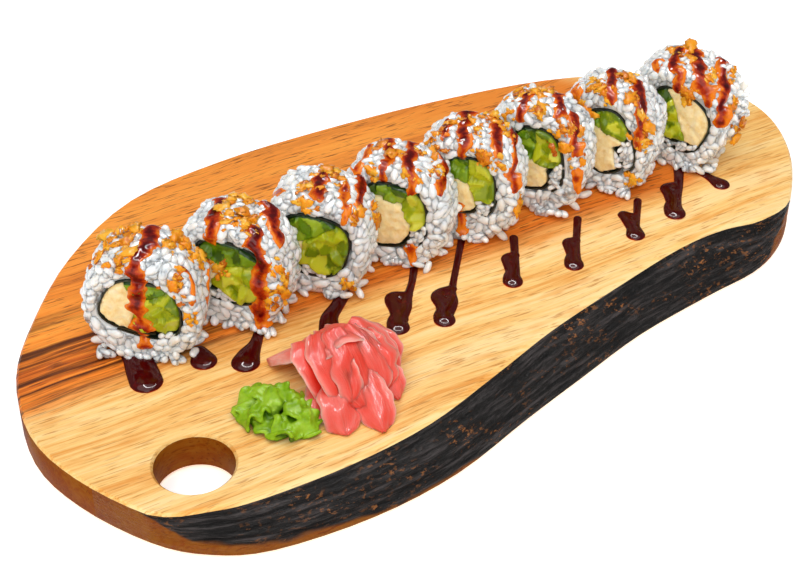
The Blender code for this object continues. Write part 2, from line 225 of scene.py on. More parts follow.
def char_material():
    """Burnt and brushed live edge: black ridges, with brown wood where it rubbed through."""
    mat, tree, shader = new_material("charred_edge", 0.5)
    at = object_point(tree)
    ridges = figure(tree, at, (50, 50, 1000), 5.0, 0.7)
    nicks = figure(tree, at, (380, 480, 1000), 3.0, 0.65)
    patches = figure(tree, at, (28, 60, 60), 3.0)
    # The tops of the ridges are lighter grey: partly the char's own colour, partly painted sheen.
    coal = grade(tree, ridges, [(0.36, (0.001, 0.0008, 0.0008)), (0.5, (0.008, 0.0065, 0.006)),
                                (0.66, (0.055, 0.046, 0.045))])
    rub = maths(tree, "MULTIPLY", ease(tree, nicks, 0.55, 0.66), ease(tree, patches, 0.46, 0.66))
    colour = blend(tree, maths(tree, "MULTIPLY", rub, 0.85), coal, (0.36, 0.13, 0.035))
    spot = node(tree, "SeparateXYZ", {0: at})
    waver = maths(tree, "MULTIPLY_ADD", patches, 0.008, -0.004)
    height = maths(tree, "ADD", spot.outputs["Z"], waver)
    left_line = maths(tree, "MULTIPLY_ADD", spot.outputs["X"], -0.75, LEFT_TIP * 0.75 + TOP)
    right_line = maths(tree, "MULTIPLY_ADD", spot.outputs["X"], 0.34, -0.34 * RIGHT_TAPER)
    over_left = ease(tree, maths(tree, "SUBTRACT", height, left_line), -0.0006, 0.0008)
    over_right = ease(tree, maths(tree, "SUBTRACT", height, right_line), -0.0010, 0.0010)
    foot_line = maths(tree, "MULTIPLY_ADD", spot.outputs["X"], -0.035, 0.035 * FOOT_END)
    over_foot = ease(tree, maths(tree, "SUBTRACT", height, foot_line), -0.0008, 0.0008)
    burnt = maths(tree, "MULTIPLY", over_foot, maths(tree, "MULTIPLY", over_left, over_right))
    # The bare wood at the ends and foot of the edge is the wood colour in painted shade.
    bare, _, _ = wood_colour(tree, at, SAWN_SHADE)
    colour = blend(tree, burnt, bare, colour)
    rough = maths(tree, "MULTIPLY_ADD", nicks, 0.5, 0.2)
    feed(tree, shader, {"Base Color": colour, "Roughness": rough, "Specular IOR Level": 0.10})
    relief = maths(tree, "ADD", ridges, maths(tree, "MULTIPLY", nicks, 0.7))
    bump(tree, shader, relief, 0.0010, 1.0)
    return mat


def finished(name, bm):
    """Mesh of an edit mesh, which is freed."""
    mesh = bpy.data.meshes.new(name)
    bm.to_mesh(mesh)
    bm.free()
    return mesh


def keep(piece, slot, *nodes):
    """Put a finished piece on the body, hiding these CAD nodes; the slot is not used."""
    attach(piece, "root")
    if nodes:
        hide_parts(*nodes)
    return piece


def piece_of(name, mesh, *mats):
    """Object of a mesh in these materials."""
    made = bpy.data.objects.new(name, mesh)
    scene.collection.objects.link(made)
    if len(mesh.materials):
        mesh.materials.clear()
    for mat in mats:
        mesh.materials.append(mat)
    return made


def welded(name):
    """Edit mesh of a CAD node with its seams closed."""
    bm = bmesh.new()
    bm.from_mesh(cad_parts[name].data)
    bmesh.ops.remove_doubles(bm, verts=bm.verts, dist=0.00001)
    bm.normal_update()
    return bm


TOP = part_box("board")[1][2]       # height of the board's top
WANE_LOW = 3.0 * MM               # the charred slope starts here above the underside
WANE_FADE = 1.2 * MM              # over this height the brushing dies out at top and foot
CHAR_STEPS = 9
RIDGE_DEPTH, FLECK_DEPTH = 0.55 * MM, 0.25 * MM   # relief left by the wire brush
# Material slots: the top, the sawn sides in painted shade, and the charred edge.
TOP_FINISH, SIDE_FINISH, CHAR_FINISH = 0, 1, 2
HOLE_AT = Vector((-136.6, -62.5)) * MM

bm = welded("board")


def on_slope(face, least=0.04):
    """A face of the live edge."""
    mid = face.calc_center_median()
    return (least < face.normal.z < 0.97 and face.normal.y < -0.1
            and WANE_LOW - 0.0002 < mid.z < TOP - 0.0008)


bmesh.ops.join_triangles(bm, faces=[f for f in bm.faces if on_slope(f, 0.02)],
                         angle_face_threshold=0.8, angle_shape_threshold=2.0)
slope = [f for f in bm.faces if on_slope(f)]
for face in bm.faces:
    mid = face.calc_center_median()
    foot = mid.z < WANE_LOW and face.normal.y < -0.3 and -0.150 < mid.x < 0.150
    by_hole = (mid.xy - HOLE_AT).length < 0.018
    foot = foot or (mid.x < -0.12 and mid.y < -0.055 and face.normal.y < -0.3 and not by_hole)
    foot = foot or (mid.x > 0.12 and mid.y < -0.02 and face.normal.y < -0.3)
    upright = abs(face.normal.z) < 0.5
    face.material_index = (CHAR_FINISH if foot else SIDE_FINISH) if upright else TOP_FINISH
    face.smooth = face.normal.z < 0.97
for face in slope:
    face.material_index = CHAR_FINISH
edges = list({e for f in slope for e in f.edges})
bmesh.ops.subdivide_edges(bm, edges=edges, cuts=CHAR_STEPS, use_grid_fill=True)
charred = {v for f in bm.faces if f.material_index == CHAR_FINISH for v in f.verts}
bm.normal_update()
for v in charred:
    x, y, z = v.co
    fade = (min(1.0, max(0.0, (z - WANE_LOW) / WANE_FADE))
            * min(1.0, max(0.0, (TOP - 0.001 - z) / WANE_FADE)))
    if not all(f.material_index == CHAR_FINISH for f in v.link_faces):
        fade = 0.0
    ridge = noise.noise(Vector((45 * x, 45 * y, 620 * z)))
    fleck = noise.noise(Vector((260 * x, 300 * y, 1100 * z)))
    v.co -= v.normal * fade * (RIDGE_DEPTH * (0.5 - ridge) + FLECK_DEPTH * (0.5 - fleck))
bmesh.ops.triangulate(bm, faces=[f for f in bm.faces if len(f.verts) > 4])
# The top keeps the wood's own colour; the sides are the same wood darkened as painted shade.
board = piece_of("acacia_board", finished("acacia_board", bm),
                 wood_material("acacia_top", (1.0, 0.99, 0.93), 0.30, 0.07),
                 wood_material("acacia_side_painted_shade", SAWN_SHADE, 0.34, 0.02), char_material())
keep(board, "acacia", "board")


# ---------------------------------------------------------------- rice
# Short-grain sushi rice, cooked, seasoned and pressed round the roll: thousands of plump,
# glassy grains stuck on end and on their sides, with strays along the foot of each slice.
YAWS = (53.0, 42.7, 50.3, 44.3, 42.1, 34.0, 33.8, 30.2)   # degrees, where each slice faces
GRAIN = (7.0, 3.9, 3.4)           # length, width and thickness in mm
SKIN_SPACING = 2.9                # mm between grains on the outside
UNDER_SPACING = 3.6               # mm between grains just below it
OUTER_POWER = 2.38                # roundness of a slice's outline
CORE_SIDE, CORE_END = 0.6 * MM, 0.7 * MM          # how far the core is drawn in all round
CORE_TOP, CORE_FOOT = 1.0 * MM, 0.4 * MM          # and from above and below
TUCK_CORE_END = 1.2 * MM          # how far the core in the tuck stands back at the ends
TUCK_SCALE = 0.6                  # size of the grains in the tuck beside the others
RIM, RIM_CLEAR = 3.4, 1.3         # mm from the nori where grains turn, and the least they keep
CROWDED_FEET = (1, 2, 8)          # slices with the most loose grains at the foot


class Slice:
    """One slice: its own axes, across u, back a and up v, measured off its CAD rice."""

    def __init__(self, number):
        self.number = number
        turn = math.radians(YAWS[number - 1])
        self.across = np.array((math.sin(turn), -math.cos(turn), 0.0))
        self.back = np.array((math.cos(turn), math.sin(turn), 0.0))
        self.up = np.array((0.0, 0.0, 1.0))
        points = np.array([v.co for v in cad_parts["rice_%d" % number].data.vertices])
        u, a, z = points @ self.across, points @ self.back, points[:, 2]
        self.width, self.height = np.ptp(u), np.ptp(z)
        self.half = 0.5 * np.ptp(a)
        self.origin = (self.across * 0.5 * (u.max() + u.min()) + self.back * 0.5 * (a.max() + a.min())
                       + self.up * z.min())

    def world(self, u, a, v):
        return self.origin + self.across * u + self.back * a + self.up * v

    def local(self, points):
        gap = np.asarray(points) - self.origin
        return np.stack((gap @ self.across, gap @ self.back, gap @ self.up), axis=-1)

    def turn(self, u, a, v):
        """A direction in the slice's axes, as a world direction."""
        return self.across * u + self.back * a + self.up * v

    def reach(self, local):
        """1 on the outline of the slice, less inside it."""
        x = np.abs(local[..., 0]) / (0.5 * self.width)
        y = np.abs(local[..., 2] - 0.5 * self.height) / (0.5 * self.height)
        return (x ** OUTER_POWER + y ** OUTER_POWER) ** (1.0 / OUTER_POWER)


slices = [Slice(k) for k in range(1, 9)]


def triangles_of(bm):
    """Corner positions and corner normals of every triangle."""
    bmesh.ops.triangulate(bm, faces=bm.faces)
    bm.normal_update()
    corners = np.array([[v.co for v in f.verts] for f in bm.faces])
    normals = np.array([[f.normal] * 3 for f in bm.faces])
    return corners, normals


def strewn(corners, normals, spacing, rng, tries=7500):
    """Points spread over triangles, no two closer than the spacing."""
    edge_a = corners[:, 1] - corners[:, 0]
    edge_b = corners[:, 2] - corners[:, 0]
    area = np.linalg.norm(np.cross(edge_a, edge_b), axis=1)
    pick = rng.choice(len(corners), tries, p=area / area.sum())
    s, t = rng.random(tries), rng.random(tries)
    flip = s + t > 1
    s[flip], t[flip] = 1 - s[flip], 1 - t[flip]
    points = corners[pick, 0] + edge_a[pick] * s[:, None] + edge_b[pick] * t[:, None]
    kept = np.zeros((0, 3))
    chosen = []
    for i, point in enumerate(points):
        if len(kept) and ((kept - point) ** 2).sum(axis=1).min() < spacing ** 2:
            continue
        kept = np.vstack((kept, point))
        chosen.append(i)
    return points[chosen], normals[pick[chosen], 0]


def ball_template(around, rows):
    """Unit ball as points and faces."""
    points = [(0.0, 0.0, 1.0)]
    for r in range(1, rows):
        polar = math.pi * r / rows
        for i in range(around):
            turn = 2 * math.pi * (i + 0.5 * (r % 2)) / around
            points.append((math.sin(polar) * math.cos(turn), math.sin(polar) * math.sin(turn),
                           math.cos(polar)))
    points.append((0.0, 0.0, -1.0))
    faces = []
    last = len(points) - 1
    for i in range(around):
        j = (i + 1) % around
        faces.append((0, 1 + i, 1 + j))
        faces.append((last, last - around + j, last - around + i))
    for r in range(rows - 2):
        for i in range(around):
            j = (i + 1) % around
            low, high = 1 + r * around, 1 + (r + 1) * around
            faces.append((low + i, high + i, high + j, low + j))
    return np.array(points)[:, (2, 0, 1)], faces


GRAIN_POINTS, GRAIN_FACES = ball_template(8, 6)


def grain_points(centre, axis, out, rng, scale=1.0):
    """One grain laid along an axis, its flat side facing out: blunt, bent and a little lopsided."""
    length, width, thick = (0.5 * MM * scale * g * rng.uniform(0.88, 1.12) for g in GRAIN)
    x, y, z = GRAIN_POINTS.T
    x = np.sign(x) * np.abs(x) ** 0.86
    belly = 1.0 - 0.14 * x * rng.uniform(-1, 1)
    bend = rng.uniform(-0.16, 0.16)
    shape = np.stack((x * length, y * width * belly + bend * width * (x * x - 0.4),
                      z * thick * belly), axis=1)
    side = np.cross(out, axis)
    side /= np.linalg.norm(side)
    axis = axis / np.linalg.norm(axis)
    lift = np.cross(axis, side)
    return centre + shape @ np.array((axis, side, lift))


def rice_material():
    """Cooked rice: milky, wet and glassy, each grain its own shade."""
    mat, tree, shader = new_material("sushi_rice", 0.22)
    island = node(tree, "NewGeometry").outputs["Random Per Island"]
    tone = grade(tree, island, [(0.0, (0.86, 0.80, 0.72)), (0.4, (0.93, 0.89, 0.83)),
                                (1.0, (0.98, 0.945, 0.895))])
    cloud = figure(tree, object_point(tree), (330, 330, 330), 2.0)
    tone = blend(tree, ease(tree, cloud, 0.45, 0.75), tone, (0.97, 0.94, 0.89))
    feed(tree, shader, {"Base Color": tone, "Subsurface Weight": 0.9,
                        "Subsurface Radius": (1.0, 0.85, 0.74), "Subsurface Scale": 0.0024,
                        "Coat Weight": 0.8, "Coat Roughness": 0.06})
    bump(tree, shader, figure(tree, object_point(tree), (900, 900, 900), 2.0), 0.0001, 0.5)
    return mat


RICE = rice_material()


def tree_of(pieces):
    """Search tree over the surfaces of several pieces."""
    points, faces = [], []
    for piece in pieces:
        start = len(points)
        points.extend([v.co.copy() for v in piece.data.vertices])
        faces.extend([tuple(i + start for i in p.vertices) for p in piece.data.polygons])
    return BVHTree.FromPolygons(points, faces)


def mesh_of(name, points, faces):
    """Smooth mesh of points and faces."""
    mesh = bpy.data.meshes.new(name)
    mesh.from_pydata(np.asarray(points).tolist(), [], faces)
    mesh.shade_smooth()
    return mesh


def nori_polygons(number):
    """Points and faces of a slice's nori."""
    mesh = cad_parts["nori_%d" % number].data
    return [v.co for v in mesh.vertices], [tuple(p.vertices) for p in mesh.polygons]


class Grains:
    """The rice of a slice as it is built up: its core, then one grain after another."""

    def __init__(self, cut):
        self.cut = cut
        self.rng = np.random.default_rng(40 + cut.number)
        self.points, self.faces, self.count = [], [], 0

    def add(self, points, faces):
        self.points.append(points)
        self.faces.extend([tuple(i + self.count for i in f) for f in faces])
        self.count += len(points)

    def lay(self, centre, axis, out, scale=1.0, on_board=False):
        grain = grain_points(centre, axis, out, self.rng, scale)
        if on_board:
            grain[:, 2] = np.maximum(grain[:, 2], TOP + 0.05 * MM)
        self.add(grain, GRAIN_FACES)


def lay_core(grains):
    """Drawn-in core of the slice; returns the triangles of the slice's true outside."""
    cut = grains.cut
    bm = welded("rice_%d" % cut.number)
    core = cut.local(np.array([v.co for v in bm.verts]))
    outer = cut.reach(core) > 0.8
    core[:, 1] *= 1.0 - CORE_END / cut.half
    core[outer, 0] *= 1.0 - CORE_SIDE / (0.5 * cut.width)
    core[outer, 2] = CORE_FOOT + (core[outer, 2] - CORE_FOOT) * (1.0 - CORE_TOP / cut.height)
    grains.add(np.array([cut.world(*p) for p in core]), [[v.index for v in f.verts] for f in bm.faces])
    corners, normals = triangles_of(bm)
    bm.free()
    return corners, normals


def lay_tuck_core(grains, name):
    """Rice in the tuck of the nori: a core set back at the ends, and small grains on the ends."""
    cut, rng = grains.cut, grains.rng
    bm = welded(name)
    heart = cut.local(np.array([v.co for v in bm.verts]))
    heart[:, 1] *= 1.0 - TUCK_CORE_END / cut.half
    grains.add(np.array([cut.world(*p) for p in heart]), [[v.index for v in f.verts] for f in bm.faces])
    corners, normals = triangles_of(bm)
    bm.free()
    for point, out in zip(*strewn(corners, normals, 1.7 * MM, rng)):
        if abs(out @ cut.back) < 0.7:
            continue
        axis = rng.normal(size=3)
        axis -= out * (axis @ out) * 0.8
        grains.lay(point - out * MM * rng.uniform(-0.2, 0.5), axis, out + 0.01, TUCK_SCALE)


def lay_skin(grains, corners, normals, nori):
    """Two layers of grains over the outside, turned along the rim where they meet the nori."""
    cut, rng = grains.cut, grains.rng
    for spacing, depth, spread in ((UNDER_SPACING, 2.1, 0.25), (SKIN_SPACING, 1.0, 0.4)):
        points, outs = strewn(corners, normals, spacing * MM, rng)
        places = cut.local(points)
        for point, out, (u, a, v) in zip(points, outs, places):
            end_on = abs(out @ cut.back)
            if out[2] < -0.75 or (cut.reach(np.array((u, a, v))) < 0.86 and end_on < 0.6):
                continue
            hit, _, _, gap = nori.find_nearest(Vector(point))
            random_dir = rng.normal(size=3)
            axis = random_dir - out * (random_dir @ out)
            axis /= np.linalg.norm(axis)
            if gap < RIM * MM and end_on > 0.6:
                toward = np.array(hit) - point
                toward -= out * (toward @ out)
                toward /= np.linalg.norm(toward) + 1e-9
                along = np.cross(out, toward)
                axis = along + 0.35 * rng.normal() * toward
                point = point - toward * max(0.0, RIM_CLEAR * MM - gap)
            tilt = rng.normal() * 0.24
            axis = axis * math.cos(tilt) + out * math.sin(tilt)
            centre = point - out * MM * (depth + rng.uniform(-spread, spread))
            grains.lay(centre, axis, out + 0.25 * rng.normal(size=3), on_board=True)


def lay_gap_grains(grains, nori):
    """Small grains wedged at both ends where the fillings leave room inside the nori."""
    cut, rng = grains.cut, grains.rng
    filled = tree_of([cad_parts["%s_%d" % (name, cut.number)]
                      for name in ("omelette", "cucumber", "avocado")])
    sheet = cut.local([v.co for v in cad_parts["nori_%d" % cut.number].data.vertices])
    low, high = sheet.min(axis=0), sheet.max(axis=0)
    eye = 0.5 * (low + high)
    taken = np.zeros((0, 2))
    for _ in range(900):
        u, v = rng.uniform(low[0], high[0]), rng.uniform(low[2], high[2])
        spot = Vector(cut.world(u, -cut.half - 0.3 * MM, v))
        sunk = Vector(cut.world(u, -cut.half + 1.5 * MM, v))
        away = cut.turn(u - eye[0], 0.0, v - eye[2])
        away /= np.linalg.norm(away) + 1e-9
        wall, _, _, _ = nori.ray_cast(sunk, Vector(away), 12 * MM)
        close = filled.find_nearest(spot)[3] < 1.0 * MM or nori.find_nearest(sunk)[3] < 0.35 * MM
        crowd = len(taken) and ((taken - (u, v)) ** 2).sum(axis=1).min() < (1.6 * MM) ** 2
        if wall is None or close or crowd:
            continue
        taken = np.vstack((taken, (u, v)))
        axis = np.cross(away, cut.back) + 0.4 * rng.normal(size=3)
        for end in (-1, 1):
            depth = end * (cut.half - MM * rng.uniform(0.5, 1.1))
            grains.lay(cut.world(u, depth, v), axis, cut.back + 0.01, TUCK_SCALE)


def lay_strays(grains, count):
    """Grains dropped along the foot of the slice."""
    cut, rng = grains.cut, grains.rng
    for _ in range(count):
        turn = rng.uniform(-1, 1)
        side = rng.choice((-1, 1))
        u = side * (0.36 + 0.07 * rng.random()) * cut.width
        a = turn * (cut.half + 1.0 * MM)
        if rng.random() < 0.45:
            u, a = rng.uniform(-0.36, 0.36) * cut.width, -cut.half - 0.4 * MM
        v = rng.uniform(1.0, 3.0) * MM
        axis = rng.normal(size=3) * (1, 1, 0.45)
        grains.lay(cut.world(u, a, v), axis, cut.up + 0.3 * rng.normal(size=3), 0.85, on_board=True)


def lay_frayed_end(grains, count):
    """Grains standing loose off the far side of the roll's last slice."""
    cut, rng = grains.cut, grains.rng
    for _ in range(count):
        angle = math.radians(rng.uniform(-28, 62))
        u, v = 0.5 * cut.width * math.cos(angle), 0.5 * cut.height * (1 + math.sin(angle))
        a = rng.uniform(-0.2, 1.0) * cut.half
        out = cut.turn(math.cos(angle), rng.uniform(-0.3, 0.9), math.sin(angle) + 0.1)
        out /= np.linalg.norm(out)
        axis = out + 0.7 * rng.normal(size=3)
        centre = cut.world(u, a, v) + out * MM * rng.uniform(-0.6, 1.6)
        grains.lay(centre, axis, np.cross(axis, cut.up) + 0.1, 0.9)


def rice_piece(cut):
    """All the rice of one slice over its drawn-in core."""
    number = cut.number
    grains = Grains(cut)
    nori = BVHTree.FromPolygons(*nori_polygons(number))
    corners, normals = lay_core(grains)
    inner_nodes = [name for name in ("rice_inside_%d" % number,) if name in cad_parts]
    for name in inner_nodes:
        lay_tuck_core(grains, name)
    lay_skin(grains, corners, normals, nori)
    lay_gap_grains(grains, nori)
    lay_strays(grains, 34 if number in CROWDED_FEET else 22)
    if number == len(slices):
        lay_frayed_end(grains, 64)

    mesh = mesh_of("rice_of_slice_%d" % number, np.concatenate(grains.points), grains.faces)
    piece = piece_of(mesh.name, mesh, RICE)
    keep(piece, "rice", "rice_%d" % number, *inner_nodes)
    return piece


rice_pieces = [rice_piece(cut) for cut in slices]


# ---------------------------------------------------------------- nori
# Roasted seaweed sheet rolled once round the filling, softened by the rice so that it has gone
# dark, slightly glossy and finely crinkled.
def nori_material():
    mat, tree, shader = new_material("nori", 0.35)
    at = object_point(tree)
    fibre = figure(tree, at, (700, 700, 260), 4.0, 0.6)
    colour = grade(tree, fibre, [(0.3, (0.003, 0.006, 0.004)), (0.55, (0.010, 0.020, 0.012)),
                                 (0.75, (0.030, 0.050, 0.026))])
    feed(tree, shader, {"Base Color": colour, "Coat Weight": 0.25, "Coat Roughness": 0.2})
    bump(tree, shader, fibre, 0.0003, 0.8)
    return mat


NORI = nori_material()
for cut in slices:
    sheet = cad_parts["nori_%d" % cut.number]
    sheet.data.materials.clear()
    sheet.data.materials.append(NORI)


# ---------------------------------------------------------------- fillings
# Sticks of rolled omelette, cucumber with its skin on and ripe avocado, laid side by side and
# cut through with the roll, so their ends are a little uneven, wet and chipped into facets.
FILLING_VOXEL = 0.75 * MM
END_DEPTH = 4.5 * MM              # the knife's marks go this far in


def remeshed(piece, voxel, smooth=0):
    """Freeze a fine even skin over a piece."""
    skin = piece.modifiers.new("skin", "REMESH")
    skin.mode = "VOXEL"
    skin.voxel_size = voxel
    skin.use_smooth_shade = True
    if smooth:
        rub = piece.modifiers.new("rub", "SMOOTH")
        rub.iterations = smooth
        rub.factor = 0.5
    graph = bpy.context.evaluated_depsgraph_get()
    mesh = bpy.data.meshes.new_from_object(piece.evaluated_get(graph))
    piece.modifiers.clear()
    old, piece.data = piece.data, mesh
    bpy.data.meshes.remove(old)
    return piece


def filling_material(name):
    mat, tree, shader = new_material(name, 0.3)
    at = object_point(tree)
    shade = node(tree, "Attribute", attribute_name="shade").outputs["Color"]
    parts = node(tree, "SeparateColor", {0: shade})
    facet, rind = parts.outputs[0], parts.outputs[1]
    cloud = figure(tree, at, (260, 260, 260), 4.0, 0.6)
    speck = figure(tree, at, (900, 900, 900), 3.0, 0.6)
    if name == "omelette":
        curd = figure(tree, at, (420, 420, 420), 5.0, 0.65)
        colour = grade(tree, blend(tree, 0.4, cloud, curd),
                       [(0.36, (0.86, 0.61, 0.24)), (0.5, (0.95, 0.75, 0.39)),
                        (0.66, (0.98, 0.86, 0.56))])
        colour = blend(tree, maths(tree, "MULTIPLY", rind, 0.35), colour, (0.72, 0.44, 0.13))
        feed(tree, shader, {"Subsurface Scale": 0.002, "Roughness": 0.42})
        bump(tree, shader, curd, 0.0005, 0.8)
    elif name == "cucumber":
        colour = grade(tree, facet, [(0.0, (0.035, 0.085, 0.002)), (0.5, (0.12, 0.24, 0.003)),
                                     (1.0, (0.33, 0.46, 0.02))])
        colour = blend(tree, ease(tree, cloud, 0.5, 0.74), colour, (0.27, 0.38, 0.015))
        colour = blend(tree, ease(tree, rind, 0.35, 0.75), colour, (0.012, 0.045, 0.004))
        feed(tree, shader, {"Subsurface Scale": 0.0025})
        bump(tree, shader, speck, 0.0003, 0.6)
    else:
        colour = grade(tree, facet, [(0.0, (0.10, 0.18, 0.001)), (0.35, (0.27, 0.34, 0.002)),
                                     (0.7, (0.45, 0.48, 0.006)), (1.0, (0.66, 0.66, 0.06))])
        colour = blend(tree, ease(tree, cloud, 0.50, 0.74), colour, (0.50, 0.53, 0.02))
        colour = blend(tree, maths(tree, "MULTIPLY", rind, 0.5), colour, (0.10, 0.18, 0.001))
        feed(tree, shader, {"Subsurface Scale": 0.0022})
        bump(tree, shader, speck, 0.0003, 0.6)
    feed(tree, shader, {"Base Color": colour, "Subsurface Weight": 0.35,
                        "Subsurface Radius": (1.0, 0.8, 0.35), "Coat Weight": 0.45,
                        "Coat Roughness": 0.12, "Specular IOR Level": 0.15})
    return mat


FILLINGS = {name: filling_material(name) for name in ("omelette", "cucumber", "avocado")}
FACET_SIZE = {"omelette": 30.0, "cucumber": 4.2, "avocado": 4.4}   # mm between facet centres


def filling_piece(cut, name, nori):
    """One filling with knife facets at both ends and rind where it meets the nori."""
    label = "%s_%d" % (name, cut.number)
    bm = welded(label)
    mesh = finished("cut_" + label, bm)
    piece = remeshed(piece_of(mesh.name, mesh, FILLINGS[name]), FILLING_VOXEL)
    rng = np.random.default_rng(900 + 10 * cut.number + len(name))
    points = np.array([v.co for v in piece.data.vertices])
    local = cut.local(points)
    u_low, v_low = local[:, 0].min(), local[:, 2].min()
    u_span, v_span = np.ptp(local[:, 0]), np.ptp(local[:, 2])
    cells = max(1, round(u_span * v_span / (FACET_SIZE[name] * MM) ** 2))
    tone = np.zeros(len(local))
    for sign in (-1, 1):
        seeds = np.stack((u_low + u_span * rng.random(cells), v_low + v_span * rng.random(cells)), 1)
        lean = rng.uniform(-0.5, 0.5, (cells, 2))
        sink = rng.uniform(-1.1, 1.2, cells) * MM
        light = rng.random(cells)
        flat = local[:, (0, 2)]
        wobble = np.array([noise.noise(Vector((320 * p[0], 320 * p[1], 3.0 * cut.number)))
                           for p in flat])
        gap = np.linalg.norm(flat[:, None, :] + 0.0012 * wobble[:, None, None] - seeds[None], axis=2)
        owner = gap.argmin(axis=1)
        facet = ((flat - seeds[owner]) * lean[owner]).sum(axis=1) - sink[owner]
        if name == "omelette":
            facet = 0.0007 * wobble
        near = np.clip((sign * local[:, 1] - (cut.half - END_DEPTH)) / (END_DEPTH - 0.6 * MM), 0, 1)
        local[:, 1] += sign * near * near * np.clip(facet, -0.0016, 0.0014)
        half = sign * local[:, 1] > 0
        tone[half] = light[owner[half]]
    rind = np.array([nori.find_nearest(Vector(p))[3] for p in points])
    rind = np.clip(1.0 - (rind - 0.7 * MM) / (0.7 * MM), 0, 1)
    world = cut.origin + local @ np.array((cut.across, cut.back, cut.up))
    swell = np.array([v.normal for v in piece.data.vertices]) * 0.42 * MM
    piece.data.vertices.foreach_set("co", (world + swell).ravel())
    shade = piece.data.color_attributes.new("shade", "FLOAT_COLOR", "POINT")
    shade.data.foreach_set("color", np.stack((tone, rind, 0 * tone, 1 + 0 * tone), 1).ravel())
    piece.data.update()
    keep(piece, name, label)
    return piece


filling_pieces = {}
for cut in slices:
    nori = BVHTree.FromPolygons(*nori_polygons(cut.number))
    filling_pieces[cut.number] = [filling_piece(cut, name, nori) for name in FILLINGS]


# ---------------------------------------------------------------- crispy flakes
# Crumbs of fried tempura batter scattered over the roll: brittle, blistered nuggets from golden
# to deep orange where they took up the glaze. Sizes run from a grain of sand to 5 mm.
# Each cluster is on the outside ("S", mm back, degrees round) or the cut face ("F", mm across, up).
FLAKES = {
    1: "S8|107 S8|121 S-3|131 F-7|44 S-10|99 S1|63 S6|48 F14|35 F16|40 S6|35 F21|22 S0|113",
    2: "S9|88 S6|99 S-6|88 F-3|28 S-7|69 F21|31 F19|21 S-9|6 F17|13 S0|75",
    3: "S-4|105 F-6|45 F-2|43 S5|89 S-11|43 S1|21 F13|8 S4|74",
    4: "S-1|92 S4|112 F10|44 F-8|44 F-9|24 F-9|12 S5|67 S0|52",
    5: "S-9|123 S0|111 F8|42 F10|43 F15|39 S4|50 S7|73 S-5|-18 S-3|80",
    6: "S2|116 S7|102 S6|87 S-9|85 F-9|44 F13|42 F22|29 F14|34 S-3|40",
    7: "S-9|104 S-5|103 F-9|37 F1|47 S-10|29 F16|28 F17|9 S-7|62 S4|80",
    8: "S3|111 S11|92 S1|91 S-3|18 S4|-11 F6|37 S-4|60 S6|45",
}


def read_mark(cut, mark):
    """Point and outward direction of a mark such as S8|107 or F-7|44 on a slice."""
    first, second = (float(n) for n in mark[1:].split("|"))
    if mark[0] == "F":
        return cut.world(first * MM, -cut.half, second * MM), -cut.back
    turn = math.radians(second)
    c, s = math.cos(turn), math.sin(turn)
    swell = (abs(c) ** OUTER_POWER + abs(s) ** OUTER_POWER) ** (-1.0 / OUTER_POWER)
    half_w, half_h = 0.5 * cut.width, 0.5 * cut.height
    point = cut.world(half_w * c * swell, first * MM, half_h + half_h * s * swell)
    out = cut.turn(math.copysign(abs(c) ** 1.3, c) / half_w, 0.0, math.copysign(abs(s) ** 1.3, s) / half_h)
    return point, out / np.linalg.norm(out)


def flake_material():
    mat, tree, shader = new_material("crispy_flakes", 0.35)
    at = object_point(tree)
    island = node(tree, "NewGeometry").outputs["Random Per Island"]
    tone = grade(tree, island, [(0.0, (0.50, 0.10, 0.003)), (0.25, (0.80, 0.25, 0.006)),
                                (0.6, (0.93, 0.33, 0.009)), (1.0, (0.97, 0.48, 0.04))])
    blister = figure(tree, at, (700, 700, 700), 3.0, 0.6)
    tone = blend(tree, ease(tree, blister, 0.5, 0.7), tone, (0.95, 0.43, 0.02))
    feed(tree, shader, {"Base Color": tone, "Subsurface Weight": 0.25,
                        "Subsurface Radius": (1.0, 0.5, 0.15), "Subsurface Scale": 0.0012,
                        "Specular IOR Level": 0.1, "Coat Weight": 0.3, "Coat Roughness": 0.12})
    bump(tree, shader, blister, 0.0004, 0.9)
    return mat


surfaces = {}
for cut, rice in zip(slices, rice_pieces):
    surfaces[cut.number] = tree_of([rice] + filling_pieces[cut.number])

FLAKE_POINTS, FLAKE_FACES = ball_template(10, 7)
rng = np.random.default_rng(77)
points, faces = [], []
count = 0
for cut in slices:
    for mark in FLAKES[cut.number].split():
        centre, out = read_mark(cut, mark)
        side = np.cross(out, cut.up + 0.01)
        side /= np.linalg.norm(side)
        rise = np.cross(side, out)
        for i in range(rng.integers(10, 17)):
            spread = rng.normal(size=2) * 2.2 * MM
            start = centre + side * spread[0] + rise * spread[1] + out * 6 * MM
            hit, _, _, _ = surfaces[cut.number].ray_cast(Vector(start), Vector(-out), 12 * MM)
            if hit is None:
                continue
            size = MM * (0.5 + 1.2 * rng.random() ** 1.8) * (1.7 if i < 2 else 1.0)
            seed = rng.uniform(0, 50, 3)
            lumps = np.array([1 + 0.9 * noise.noise(Vector(1.7 * p + seed))
                              + 0.55 * noise.noise(Vector(4.0 * p - seed)) for p in FLAKE_POINTS])
            shape = FLAKE_POINTS * lumps[:, None] * size * (1.3, 1.0, 0.55)
            long = rng.normal(size=3)
            long -= out * (long @ out) * 0.7
            long /= np.linalg.norm(long)
            wide = np.cross(out, long)
            wide /= np.linalg.norm(wide)
            points.append(np.array(hit) + out * size * 0.1
                          + shape @ np.array((long, wide, np.cross(long, wide))))
            faces.extend([tuple(n + count for n in f) for f in FLAKE_FACES])
            count += len(FLAKE_POINTS)
mesh = mesh_of("crispy_flakes", np.concatenate(points), faces)
flakes = piece_of("crispy_flakes", mesh, flake_material())
keep(flakes, "rice")


